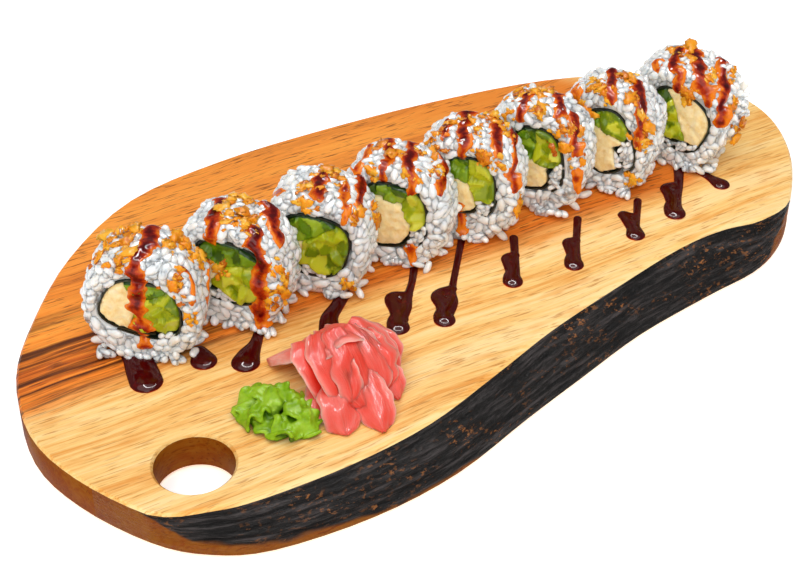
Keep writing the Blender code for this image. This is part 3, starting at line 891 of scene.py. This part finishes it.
# ---------------------------------------------------------------- sauce
# Sweet soy glaze poured across the row from a bottle: thick dark ribbons that sink between the
# grains and thin to orange-brown at their edges, and slow drips that ran onto the board.
# Each run: its width in mm, its thickness in mm, then its marks.
RIBBONS = {
    1: [(8.2, 0.9, "S12|84 S2|84 S-8|85 F1|43 F0|36 F0|28 F0|20 F0|11 F1|5"),
        (3.3, 0.5, "S-7|50 S-7|38 S-9|29 F20|27"), (4.2, 0.6, "S12|22 S4|6 S2|-17 S1|-34")],
    2: [(7.3, 0.8, "S8|112 S-1|110 S-9|103 F-4|42 F-5|37"),
        (9.5, 1.2, "S11|64 S2|55 S-2|44 S-2|33"),
        (7.0, 0.8, "S-4|62 S-9|60 F13|37 F14|30 F13|20 F13|10 F13|3")],
    3: [(5.0, 0.6, "S2|149 S-4|127"), (7.4, 0.8, "S6|90 S-3|89 F4|46"),
        (4.2, 0.6, "S4|62 S-6|60 F13|42 F11|35"), (5.7, 0.7, "S12|57 S10|49 S-4|42 S-9|38")],
    4: [(5.0, 0.6, "S8|127 S-4|125 F-15|40"), (5.7, 0.7, "S11|107 S-2|100 S-7|98 F-3|41 F-4|38"),
        (5.9, 0.7, "S11|84 S-3|77 S-9|74 F8|40 F8|35"), (5.3, 0.7, "S10|58 S5|41 S-4|37 S-9|31"),
        (4.2, 0.6, "F7|11 F8|8 F9|2")],
    5: [(5.3, 0.7, "S5|121 S-7|113 F-8|46"), (6.6, 0.8, "S10|101 S-3|95 F0|47 F0|38"),
        (5.0, 0.6, "F0|18 F0|14 F1|3"), (5.7, 0.7, "S11|68 S1|63 S-7|54 S-9|47"),
        (5.7, 0.7, "S11|49 S4|40 S-4|30 F21|33 F22|26")],
    6: [(5.7, 0.7, "S4|107 S-5|104 F-5|47 F-4|41"), (5.9, 0.8, "S9|79 S1|70 S-9|64"),
        (5.9, 0.7, "S2|57 S-5|43 S-8|37 F20|36 F20|31"), (3.3, 0.5, "F20|26 F21|19 F21|13")],
    7: [(5.0, 0.6, "S0|134 S-7|132 F-12|43 F-13|40"), (5.7, 0.7, "S8|98 S-3|91 S-8|87 F4|43"),
        (6.6, 0.8, "S6|68 S-6|54 F16|37 F16|33 F16|24")],
    8: [(5.0, 0.6, "S-2|119 S-8|119 F-8|44"), (5.7, 0.7, "S9|105 S-6|103 F1|45 F1|36"),
        (7.0, 0.8, "S10|92 S-8|68 F14|39 F14|33"), (7.6, 0.9, "S11|64 S1|49 S-5|35 F21|33 F21|25")],
}
RIBBON_STEPS = 10                 # strips across a ribbon
DROP = 6 * MM                     # height above the rice from which a ribbon is let down
THIN_RIBBON = 0.65                # mm; a ribbon thinner than this lets more light through


def sauce_material(name):
    mat, tree, shader = new_material(name, 0.12)
    at = object_point(tree)
    thin = node(tree, "Attribute", attribute_name="thin").outputs["Fac"]
    patchy = figure(tree, at, (330, 330, 330), 3.0, 0.6)
    depth = maths(tree, "MULTIPLY_ADD", patchy, 0.9, maths(tree, "SUBTRACT", thin, 0.45))
    colour = grade(tree, depth, [(0.08, (0.050, 0.0010, 0.0012)), (0.30, (0.13, 0.0026, 0.0024)),
                                 (0.52, (0.44, 0.032, 0.002)), (0.8, (0.80, 0.20, 0.008))])
    feed(tree, shader, {"Base Color": colour, "Specular IOR Level": 0.0, "Coat Weight": 0.5,
                        "Coat Roughness": 0.03})
    return mat


SAUCE = sauce_material("soy_glaze")


def smooth_path(rows, step):
    """Curve through rows of numbers, in steps of about the given length of its first three."""
    out = []
    for i in range(len(rows) - 1):
        quad = [rows[min(max(i + n, 0), len(rows) - 1)] for n in (-1, 0, 1, 2)]
        pieces = max(1, round(np.linalg.norm(quad[2][:3] - quad[1][:3]) / step))
        for j in range(pieces):
            t = j / pieces
            a, b, c, d = quad
            out.append(0.5 * (2 * b + (c - a) * t + (2 * a - 5 * b + 4 * c - d) * t * t
                              + (3 * b - a - 3 * c + d) * t ** 3))
    out.append(rows[-1])
    return np.array(out)


def settled(heights, times):
    """Heights evened out along and across a ribbon."""
    for _ in range(times):
        padded = np.pad(heights, 1, mode="edge")
        heights = (padded[1:-1, 1:-1] * 2 + padded[:-2, 1:-1] + padded[2:, 1:-1]
                   + padded[1:-1, :-2] + padded[1:-1, 2:]) / 6.0
    return heights


points, faces, thins = [], [], []
count = 0
for cut in slices:
    for index, (width, thick, marks) in enumerate(RIBBONS[cut.number]):
        rows = np.array([np.concatenate(read_mark(cut, m)) for m in marks.split()])
        path = smooth_path(rows, 0.55 * MM)
        spine, outs = path[:, :3], path[:, 3:]
        outs = outs / np.linalg.norm(outs, axis=1)[:, None]
        tangent = np.gradient(spine, axis=0)
        sides = np.cross(tangent, outs)
        sides /= np.linalg.norm(sides, axis=1)[:, None] + 1e-12
        n = len(path)
        heights = np.zeros((n, RIBBON_STEPS + 1))
        grid = np.zeros((n, RIBBON_STEPS + 1, 3))
        bead = np.zeros(n)
        for i in range(n):
            seed = 9.0 * cut.number + 3.1 * index
            pulse = noise.noise(Vector((0.11 * i, seed, 0.0)))
            drift = noise.noise(Vector((0.06 * i, seed, 9.0)))
            ends = min(1.0, 0.28 + min(i, n - 1 - i) / 5.0)
            bead[i] = ends
            half_width = 0.5 * width * MM * (0.92 + 0.7 * pulse) * ends ** 0.5
            for j in range(RIBBON_STEPS + 1):
                x = 2.0 * j / RIBBON_STEPS - 1.0
                ragged = 1.0 + 0.55 * noise.noise(Vector((0.17 * i, 4.0 * np.sign(x), seed)))
                point = spine[i] + sides[i] * (x * half_width * ragged + drift * 0.5 * width * MM * 0.5)
                start = Vector(point + outs[i] * DROP)
                hit, _, _, far = surfaces[cut.number].ray_cast(start, Vector(-outs[i]), 11 * MM)
                heights[i, j] = DROP - (far if hit is not None else 7.5 * MM)
                grid[i, j] = point
        padded = np.pad(heights, 1, mode="edge")
        crest = np.max([padded[p:p + n, q:q + RIBBON_STEPS + 1] for p in (0, 1, 2) for q in (0, 1, 2)],
                       axis=0)
        level = 0.45 * settled(heights, 8) + 0.55 * settled(crest, 10)
        for i in range(n):
            for j in range(RIBBON_STEPS + 1):
                x = 2.0 * j / RIBBON_STEPS - 1.0
                crown = (1.0 - x * x) ** 0.5 if abs(x) < 1 else 0.0
                film = MM * (thick * crown * bead[i] - 0.15 - 0.9 * abs(x) ** 6)
                points.append(grid[i, j] + outs[i] * (level[i, j] + film))
                runny = 0.45 * max(0.0, i / n - 0.45) + 0.30 * noise.noise(Vector((0.12 * i, seed, 5.0)))
                thins.append(min(1.0, max(0.0, 0.26 + 0.7 * abs(x) ** 1.7 + runny
                                          + (0.3 if thick < THIN_RIBBON else 0.0))))
        for i in range(n - 1):
            for j in range(RIBBON_STEPS):
                a = count + i * (RIBBON_STEPS + 1) + j
                faces.append((a, a + 1, a + RIBBON_STEPS + 2, a + RIBBON_STEPS + 1))
        count += n * (RIBBON_STEPS + 1)
mesh = mesh_of("sauce_ribbons", points, faces)
mesh.attributes.new("thin", "FLOAT", "POINT").data.foreach_set("value", thins)
ribbons = piece_of("sauce_ribbons", mesh, SAUCE)
keep(ribbons, "rice")

# Drips on the board: runs of x, y and radius in mm, all settled to the board's top.
DRIPS = [
    [(-130, 9, 7.0), (-131.5, 0, 5.6), (-133, -9, 6.2), (-134, -15, 6.4)],
    [(-110, -9, 3.0), (-111, -15, 5.2)],
    [(-82.5, -5, 4.2), (-85, -9, 2.4), (-90, -15.4, 2.7), (-95, -20, 4.4), (-98, -23.5, 5.6)],
    [(-47, -6, 2.8), (-53, -11, 3.0), (-59, -16, 3.6), (-62, -22, 4.4)],
    [(-13, -2, 2.0), (-20, -12, 1.7), (-26, -19, 2.0), (-31, -25, 3.0), (-37, -30, 4.0), (-39, -34, 4.6)],
    [(-26, -19, 2.2), (-31, -17, 3.0), (-33, -19, 3.2), (-34, -25, 3.6), (-36, -30, 3.6)],
    [(13, 4, 1.8), (2, -10, 1.6), (-9, -24, 1.8), (-14, -31, 3.2), (-20, -36, 4.0), (-21.5, -39, 4.4)],
    [(-9, -24, 2.2), (-14, -24, 2.8), (-16.5, -26, 3.2), (-17, -31, 3.6), (-19, -35, 3.4)],
    [(30, -8, 2.0), (24, -18, 1.9), (19, -25, 2.6), (15.5, -29, 3.6), (14, -32, 4.2)],
    [(24, -18, 2.2), (20.5, -18, 2.6), (19, -21, 2.6), (17, -27, 2.8)],
    [(60, -10, 1.9), (51, -22, 1.8), (46, -28, 2.6), (42.5, -32, 3.6), (41, -35, 4.1)],
    [(51, -22, 2.0), (47.5, -21.5, 2.6), (46, -25, 2.8), (44, -30, 2.8)],
    [(89, -12, 1.9), (81, -22, 1.8), (77, -26, 2.6), (75, -29, 3.6), (74, -31, 4.1)],
    [(81, -21, 2.0), (78, -17, 2.4), (77.5, -20, 2.8), (76, -26, 3.0)],
    [(121, 2, 2.6), (111, -11, 2.2), (104, -18, 2.8), (99, -23, 4.0), (97, -27, 4.6)],
    [(110, -11, 2.4), (105, -10.5, 2.8), (103.5, -15, 3.2), (101, -21, 3.4)],
    [(124, -5, 2.4), (125.5, -13, 2.2), (126.5, -20, 3.9)],
]
DRIP_RISE = 0.34                  # height of a drip as a share of its radius


def drip_skin():
    """All the drips run together and settled on the board."""
    bm = bmesh.new()
    for run in DRIPS:
        path = smooth_path(np.array([(x * MM, y * MM, 0.0, r * MM) for x, y, r in run]), 0.9 * MM)
        for x, y, _, r in path:
            ball = bmesh.ops.create_icosphere(bm, subdivisions=3, radius=1.0)
            rise = min(DRIP_RISE * r + 0.45 * MM, 2.4 * MM)
            for v in ball["verts"]:
                v.co = (x + r * v.co.x, y + r * v.co.y, TOP + rise * v.co.z)
    mesh = finished("sauce_drips", bm)
    piece = remeshed(piece_of("sauce_drips", mesh, SAUCE), 0.42 * MM, smooth=9)
    thin = []
    for v in piece.data.vertices:
        v.co.z = max(v.co.z, TOP + 0.03 * MM)
        thin.append(min(1.0, max(0.0, 0.62 - (v.co.z - TOP) / (1.1 * MM))))
    piece.data.attributes.new("thin", "FLOAT", "POINT").data.foreach_set("value", thin)
    return piece


drips = drip_skin()
keep(drips, "rice")


# ---------------------------------------------------------------- pickled ginger
# Paper-thin slices of young ginger, pickled pink, dropped in a loose heap so that they fold
# over each other, hang in limp tongues and dry to pale, frilled edges.
# Each petal: its root, crest and tip in mm from the heap's middle (z above the board), its
# width in mm, how far it rolls over in degrees, and how pale it is from 0 to 1.
PETALS = [
    ((4, 10, 14), (-7, 15, 12), (-21, 25, 3.0), 16, -14, 0.8),
    ((-14, 12, 8), (0, 11, 21), (13, 13, 12), 19, 25, 0.35),
    ((-9, 14, 14), (-13, 4, 16), (-13, -7, 3), 15, 48, 0.25),
    ((-4, 12, 18), (-9, 0, 17), (-6, -13, 3), 15, 30, 0.15),
    ((0, 10, 20), (-1, -3, 17), (-3, -18, 4), 17, 6, 0.1),
    ((4, 10, 19), (5, -3, 15), (5, -14, 4), 15, -20, 0.2),
    ((6, 12, 18), (13, 3, 12), (14, -7, 2), 14, -38, 0.35),
    ((10, 12, 15), (18, 7, 9), (19, 0, 1.5), 11, -52, 0.45),
    ((-10, 2, 8), (-13, -8, 5), (-15, -17, 1.5), 15, 20, 0.5),
    ((1, -2, 12), (0, -16, 8), (-2, -29, 1.2), 14, -16, 0.35),
    ((-7, -2, 11), (-11, -13, 7), (-14, -24, 1.3), 15, 14, 0.4),
    ((6, 0, 11), (9, -9, 7), (11, -17, 1.2), 14, -32, 0.45),
    ((2, 4, 15), (1, -8, 12), (-1, -13, 6), 12, 30, 0.2),
    ((-6, 6, 16), (-5, -5, 14), (-8, -15, 6), 11, -35, 0.05),
    ((8, 4, 13), (9, -4, 11), (7, -11, 4), 11, 28, 0.3),
    ((-2, 16, 14), (4, 19, 10), (10, 20, 3), 14, 15, 0.4),
    ((7, 8, 17), (9, -3, 14), (9, -13, 4), 15, -26, 0.2),
    ((-12, 14, 12), (-8, 8, 17), (-1, 2, 16), 12, 22, 0.3),
    ((-8, 18, 10), (-2, 22, 6), (6, 24, 1.5), 13, 10, 0.5),
]
LONG_STEPS, WIDE_STEPS = 26, 14


def ginger_material():
    mat, tree, shader = new_material("pickled_ginger", 0.36)
    at = object_point(tree)
    tint = node(tree, "SeparateColor", {0: node(tree, "Attribute", attribute_name="lie").outputs["Color"]})
    along, across, pale = tint.outputs[0], tint.outputs[1], tint.outputs[2]
    lie = node(tree, "CombineXYZ", {0: maths(tree, "MULTIPLY", along, 3.0),
                                    1: maths(tree, "MULTIPLY", across, 26.0), 2: pale})
    fibre = node(tree, "TexNoise", {"Vector": lie.outputs[0], "Scale": 1.0, "Detail": 4.0}).outputs[0]
    cloud = figure(tree, at, (130, 130, 130), 3.0)
    mix = maths(tree, "MULTIPLY_ADD", cloud, 0.6, maths(tree, "MULTIPLY_ADD", pale, 0.8, -0.2))
    colour = grade(tree, mix, [(0.1, (0.93, 0.055, 0.030)), (0.4, (0.95, 0.095, 0.066)),
                               (0.7, (0.97, 0.18, 0.14)), (1.0, (0.98, 0.48, 0.38))])
    colour = blend(tree, maths(tree, "MULTIPLY", ease(tree, fibre, 0.5, 0.75), 0.35), colour,
                   (0.96, 0.32, 0.25))
    # Painted shade: the slices turn deep red where the folds shut them in.
    layers = node(tree, "Attribute", attribute_name="layers").outputs["Fac"]
    colour = blend(tree, ease(tree, layers, 0.30, 0.85), colour, (0.90, 0.040, 0.018))
    edge = maths(tree, "POWER", maths(tree, "ABSOLUTE", maths(tree, "MULTIPLY_ADD", across, 2.0, -1.0)), 9.0)
    colour = blend(tree, maths(tree, "MULTIPLY", edge, 0.75), colour, (0.97, 0.52, 0.44))
    feed(tree, shader, {"Base Color": colour, "Subsurface Weight": 0.6,
                        "Subsurface Radius": (1.0, 0.35, 0.28), "Subsurface Scale": 0.0028,
                        "Coat Weight": 0.22, "Coat Roughness": 0.12, "Specular IOR Level": 0.12})
    bump(tree, shader, fibre, 0.0006, 0.7)
    return mat


def layered(mesh, reach, rays=14):
    """How shut in each point of a folded mesh is, 0 open to 1 covered, as an attribute used to paint shade
    into the folds.
    """
    tree = BVHTree.FromPolygons([v.co for v in mesh.vertices],
                                [tuple(p.vertices) for p in mesh.polygons])
    aims = []
    for i in range(rays):
        rise = (i + 0.5) / rays
        turn = 2.4 * i
        flat = math.sqrt(1.0 - rise * rise)
        aims.append(Vector((flat * math.cos(turn), flat * math.sin(turn), rise)))
    shut = []
    for v in mesh.vertices:
        out = v.normal if v.normal.z > -0.2 else -v.normal
        start = v.co + 0.9 * MM * out
        struck = [tree.ray_cast(start, aim, reach)[0] is not None for aim in aims if aim.dot(out) > 0.05]
        shut.append(sum(struck) / max(1, len(struck)))
    near = [[] for _ in shut]
    for edge in mesh.edges:
        a, b = edge.vertices
        near[a].append(b)
        near[b].append(a)
    for _ in range(3):
        shut = [0.4 * shut[i] + 0.6 * sum(shut[j] for j in around) / len(around) if around else shut[i]
                for i, around in enumerate(near)]
    mesh.attributes.new("layers", "FLOAT", "POINT").data.foreach_set("value", shut)


def petal(root, crest, tip, width, roll, seed, frill, floor):
    """Grid of a thin slice draped from its root over a crest to its tip; also its lie."""
    rng = random.Random(seed)
    knots = np.array((root, crest, tip), float) * MM
    phase = rng.uniform(0, 6.28)
    waves = rng.uniform(0.9, 1.8)
    blunt = rng.uniform(1.5, 3.4)
    points, lie = [], []
    for i in range(LONG_STEPS + 1):
        t = i / LONG_STEPS
        spot = knots[0] * (1 - t) ** 2 + 2 * knots[1] * t * (1 - t) + knots[2] * t * t
        spot = spot + (knots[1] - 0.5 * (knots[0] + knots[2])) * 0.9 * t * (1 - t)
        run = -2 * knots[0] * (1 - t) + 2 * knots[1] * (1 - 2 * t) + 2 * knots[2] * t
        run /= np.linalg.norm(run)
        flat = np.cross(run, (0.0, 0.0, 1.0))
        flat /= np.linalg.norm(flat) + 1e-9
        out = np.cross(flat, run)
        lean = math.radians(roll) * (0.5 + 0.5 * t)
        wide = flat * math.cos(lean) + out * math.sin(lean)
        face_out = np.cross(wide, run)
        if t < 0.5:
            taper = math.sin(math.pi * min(0.5, 0.2 + 0.6 * t))
        else:
            taper = math.cos(0.5 * math.pi * ((t - 0.5) / 0.5) ** blunt) ** 0.8
        half = 0.5 * width * MM * max(0.08, taper)
        for j in range(WIDE_STEPS + 1):
            x = 2.0 * j / WIDE_STEPS - 1.0
            wave = frill * width * MM * abs(x) ** 1.8 * math.sin(waves * 6.28 * t + phase + 1.2 * x)
            cup = -0.16 * width * MM * x * x
            ripple = 1.5 * MM * noise.noise(Vector((2.6 * t, 2.1 * x, seed)))
            nick = 1.0 + 0.26 * noise.noise(Vector((6 * t, math.copysign(5.0, x), seed)))
            point = spot + wide * half * x * nick + face_out * (cup + wave * (0.3 + t) + ripple)
            point[2] = max(point[2], floor)
            points.append(point)
            lie.append((t, 0.5 + 0.5 * x))
    return points, lie


def petal_faces(start):
    """Faces of a petal's grid."""
    row = WIDE_STEPS + 1
    return [(a, a + 1, a + row + 1, a + row)
            for a in (start + i * row + j for i in range(LONG_STEPS) for j in range(WIDE_STEPS))]


def heap_middle(name):
    """Point of the board's top under the middle of a heap."""
    low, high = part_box(name)
    return np.array((0.5 * (low[0] + high[0]), 0.5 * (low[1] + high[1]), TOP))


middle = heap_middle("ginger")
points, faces, lies = [], [], []
for index, (root, crest, tip, width, roll, pale) in enumerate(PETALS):
    faces.extend(petal_faces(len(points)))
    grid, lie = petal(root, crest, tip, width, roll, 300 + index, 0.07, (0.4 + 0.2 * (index % 3)) * MM)
    points.extend([middle + p for p in grid])
    lies.extend([(t, x, pale, 1.0) for t, x in lie])
mesh = mesh_of("pickled_ginger_petals", points, faces)
mesh.color_attributes.new("lie", "FLOAT_COLOR", "POINT").data.foreach_set("color", np.array(lies).ravel())
layered(mesh, 14 * MM)
GINGER = ginger_material()
ginger = piece_of("pickled_ginger_petals", mesh, GINGER)
body = ginger.modifiers.new("body", "SOLIDIFY")
body.thickness = 0.55 * MM
body.offset = 0.0
keep(ginger, "pickled_ginger", "ginger")

bm = welded("ginger")
for v in bm.verts:
    inward = np.array(v.co) - middle
    v.co = Vector(middle + inward * (0.55, 0.55, 0.5))
bmesh.ops.subdivide_edges(bm, edges=bm.edges, cuts=2, use_grid_fill=True, smooth=1.0)
for v in bm.verts:
    v.co += 0.0012 * v.normal * noise.noise(160 * v.co)
    v.co.z = max(v.co.z, TOP + 0.3 * MM)
mesh = finished("pickled_ginger_heart", bm)
mesh.shade_smooth()
mesh.color_attributes.new("lie", "FLOAT_COLOR", "POINT").data.foreach_set(
    "color", np.tile((0.5, 0.5, 0.0, 1.0), len(mesh.vertices)))
# Painted shade: the heart of the heap is coloured as fully shut in.
mesh.attributes.new("layers", "FLOAT", "POINT").data.foreach_set("value", np.ones(len(mesh.vertices)))
heart = piece_of("pickled_ginger_heart", mesh, GINGER)
keep(heart, "pickled_ginger")


# ---------------------------------------------------------------- wasabi
# Soft paste dropped off a palette knife: it tears and folds into ruffles as it lands, with a
# smooth wet sheen on the ridges.
def wasabi_material():
    mat, tree, shader = new_material("wasabi", 0.34)
    at = object_point(tree)
    cloud = figure(tree, at, (170, 170, 170), 4.0, 0.6)
    colour = grade(tree, cloud, [(0.35, (0.17, 0.32, 0.003)), (0.5, (0.27, 0.46, 0.012)),
                                 (0.68, (0.38, 0.58, 0.05))])
    # Painted shade: the paste darkens to deep green where the folds shut it in.
    layers = node(tree, "Attribute", attribute_name="layers").outputs["Fac"]
    colour = blend(tree, ease(tree, layers, 0.12, 0.62), colour, (0.055, 0.15, 0.001))
    feed(tree, shader, {"Base Color": colour, "Subsurface Weight": 0.3,
                        "Subsurface Radius": (0.6, 1.0, 0.2), "Subsurface Scale": 0.0016,
                        "Coat Weight": 0.1, "Coat Roughness": 0.25, "Specular IOR Level": 0.12})
    bump(tree, shader, figure(tree, at, (1100, 1100, 1100), 3.0), 0.00016, 0.6)
    return mat


# Each fold: its root, crest and tip in mm from the heap's middle, its width and its roll.
FOLDS = [
    ((1, 2, 4), (-5, 8, 7), (-11, 12, 2), 11, 20), ((1, 1, 3), (-7, 4, 6), (-13, 7, 1), 12, -15),
    ((0, 0, 3), (-5, 0, 6), (-10, -1, 1), 11, 35), ((0, 5, 4), (-2, 10, 9), (0, 14, 4), 9, -20),
    ((2, 3, 5), (3, 8, 10), (6, 10, 4), 10, 25), ((2, 0, 5), (0, 3, 9), (-4, 5, 5), 9, 40),
    ((3, -2, 4), (8, 0, 8), (12, 0, 2), 10, -25), ((3, -3, 4), (9, -5, 7), (13, -8, 1), 11, 20),
    ((2, -4, 4), (6, -9, 6), (9, -13, 1), 12, -10), ((1, -3, 4), (0, -8, 6), (1, -13, 1), 11, 25),
    ((0, -2, 4), (-4, -5, 5), (-6, -9, 1), 9, -30), ((4, -1, 6), (5, -4, 10), (5, -8, 5), 9, 10),
    ((-2, 2, 5), (-6, 2, 8), (-9, 3, 4), 8, -35), ((4, 2, 5), (8, 4, 8), (11, 5, 3), 8, 15),
]
mesh = bpy.data.meshes.new("wasabi_folds")
points, faces = [], []
middle = heap_middle("wasabi")
for index, (root, crest, tip, width, roll) in enumerate(FOLDS):
    faces.extend(petal_faces(len(points)))
    grid, _ = petal(root, crest, tip, width, roll, 500 + index, 0.34, 0.8 * MM)
    points.extend([middle + p for p in grid])
mesh.from_pydata(np.array(points).tolist(), [], faces)
wasabi = piece_of("wasabi_mound", mesh, wasabi_material())
body = wasabi.modifiers.new("body", "SOLIDIFY")
body.thickness = 1.3 * MM
body.offset = 0.0
graph = bpy.context.evaluated_depsgraph_get()
thick = bpy.data.meshes.new_from_object(wasabi.evaluated_get(graph))
bm = bmesh.new()
bm.from_mesh(thick)
mound = bmesh.new()
mound.from_mesh(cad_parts["wasabi"].data)
for v in mound.verts:
    v.co = Vector(middle + (np.array(v.co) - middle) * (0.78, 0.78, 0.26))
mound.to_mesh(thick)
bm.from_mesh(thick)
mound.free()
bm.to_mesh(wasabi.data)
bm.free()
wasabi.modifiers.clear()
remeshed(wasabi, 0.4 * MM, smooth=3)
for v in wasabi.data.vertices:
    v.co += v.normal * 0.45 * MM * noise.noise(330 * v.co)
    v.co.z = max(v.co.z, TOP + 0.1 * MM)
wasabi.data.update()
layered(wasabi.data, 5 * MM)
keep(wasabi, "wasabi", "wasabi")


# ---------------------------------------------------------------- studio
# White sweep under broad soft light, with a ring lamp overhead for the round glints.
def lamp(name, size, power, place, aim):
    """Soft round lamp pointed at a spot."""
    data = bpy.data.lights.new(name, "AREA")
    data.shape = "DISK"
    data.size = size
    data.energy = power
    made = bpy.data.objects.new(name, data)
    made.location = place
    made.rotation_euler = (Vector(aim) - Vector(place)).to_track_quat("-Z", "Y").to_euler()
    scene.collection.objects.link(made)
    return made


KEY_POWER, FILL_POWER, RING_GLOW = 2.15, 2.6, 50.0
RING_AT = (0.05, 0.11, 0.64)
RING_INNER, RING_OUTER, RING_SIDES = 0.20, 0.24, 64
CAMERA_AT = Vector((-286.9, -464.6, 425.4)) * MM
LOOKS_AT = Vector((-26.1, -13.0, 15.4)) * MM

centre = 0.5 * (Vector(cad_box[0]) + Vector(cad_box[1]))
sun = bpy.data.lights.new("key", "SUN")
sun.energy = KEY_POWER
sun.angle = math.radians(75)
key = bpy.data.objects.new("key", sun)
key.rotation_euler = Vector((0.18, 0.22, -1.0)).to_track_quat("-Z", "Y").to_euler()
scene.collection.objects.link(key)
lamp("fill", 0.6, FILL_POWER, (-0.5, -0.9, 0.5), centre)

bm = bmesh.new()
for i in range(RING_SIDES):
    turn = 2 * math.pi * i / RING_SIDES
    for radius in (RING_INNER, RING_OUTER):
        bm.verts.new((radius * math.cos(turn), radius * math.sin(turn), 0.0))
bm.verts.ensure_lookup_table()
for i in range(RING_SIDES):
    j = (i + 1) % RING_SIDES
    bm.faces.new((bm.verts[2 * i], bm.verts[2 * j], bm.verts[2 * j + 1], bm.verts[2 * i + 1]))
glow, tree, shader = new_material("ring_glow")
feed(tree, shader, {"Emission Color": (1.0, 1.0, 1.0, 1.0), "Emission Strength": RING_GLOW})
ring = piece_of("ring_lamp", finished("ring_lamp", bm), glow)
ring.location = RING_AT
ring.visible_diffuse = False
ring.visible_shadow = False
ring.visible_camera = False
ring.rotation_euler = (Vector((0, 0, 0)) - ring.location).to_track_quat("-Z", "Y").to_euler()

floor_mesh = bpy.data.meshes.new("floor")
floor_mesh.from_pydata([(-4, -4, 0), (4, -4, 0), (4, 4, 0), (-4, 4, 0)], [], [(0, 1, 2, 3)])
paper, tree, shader = new_material("white_sweep", 0.9)
feed(tree, shader, {"Base Color": (0.93, 0.93, 0.93, 1.0), "Emission Color": (1.0, 1.0, 1.0, 1.0),
                    "Emission Strength": 0.4, "Specular IOR Level": 0.0})
floor = piece_of("floor", floor_mesh, paper)
floor.location.z = -0.0005

world = bpy.data.worlds.new("studio")
scene.world = world
world.use_nodes = True
world.node_tree.nodes["Background"].inputs[0].default_value = (1.0, 1.0, 1.0, 1.0)
world.node_tree.nodes["Background"].inputs[1].default_value = 0.32
scene.view_settings.view_transform = "Standard"
scene.view_settings.look = "None"

camera_data = bpy.data.cameras.new("camera")
camera_data.sensor_width = 36.0
camera_data.lens = 76.5
camera = bpy.data.objects.new("camera", camera_data)
camera.location = CAMERA_AT
camera.rotation_euler = (LOOKS_AT - camera.location).to_track_quat("-Z", "Y").to_euler()
scene.collection.objects.link(camera)
scene.camera = camera
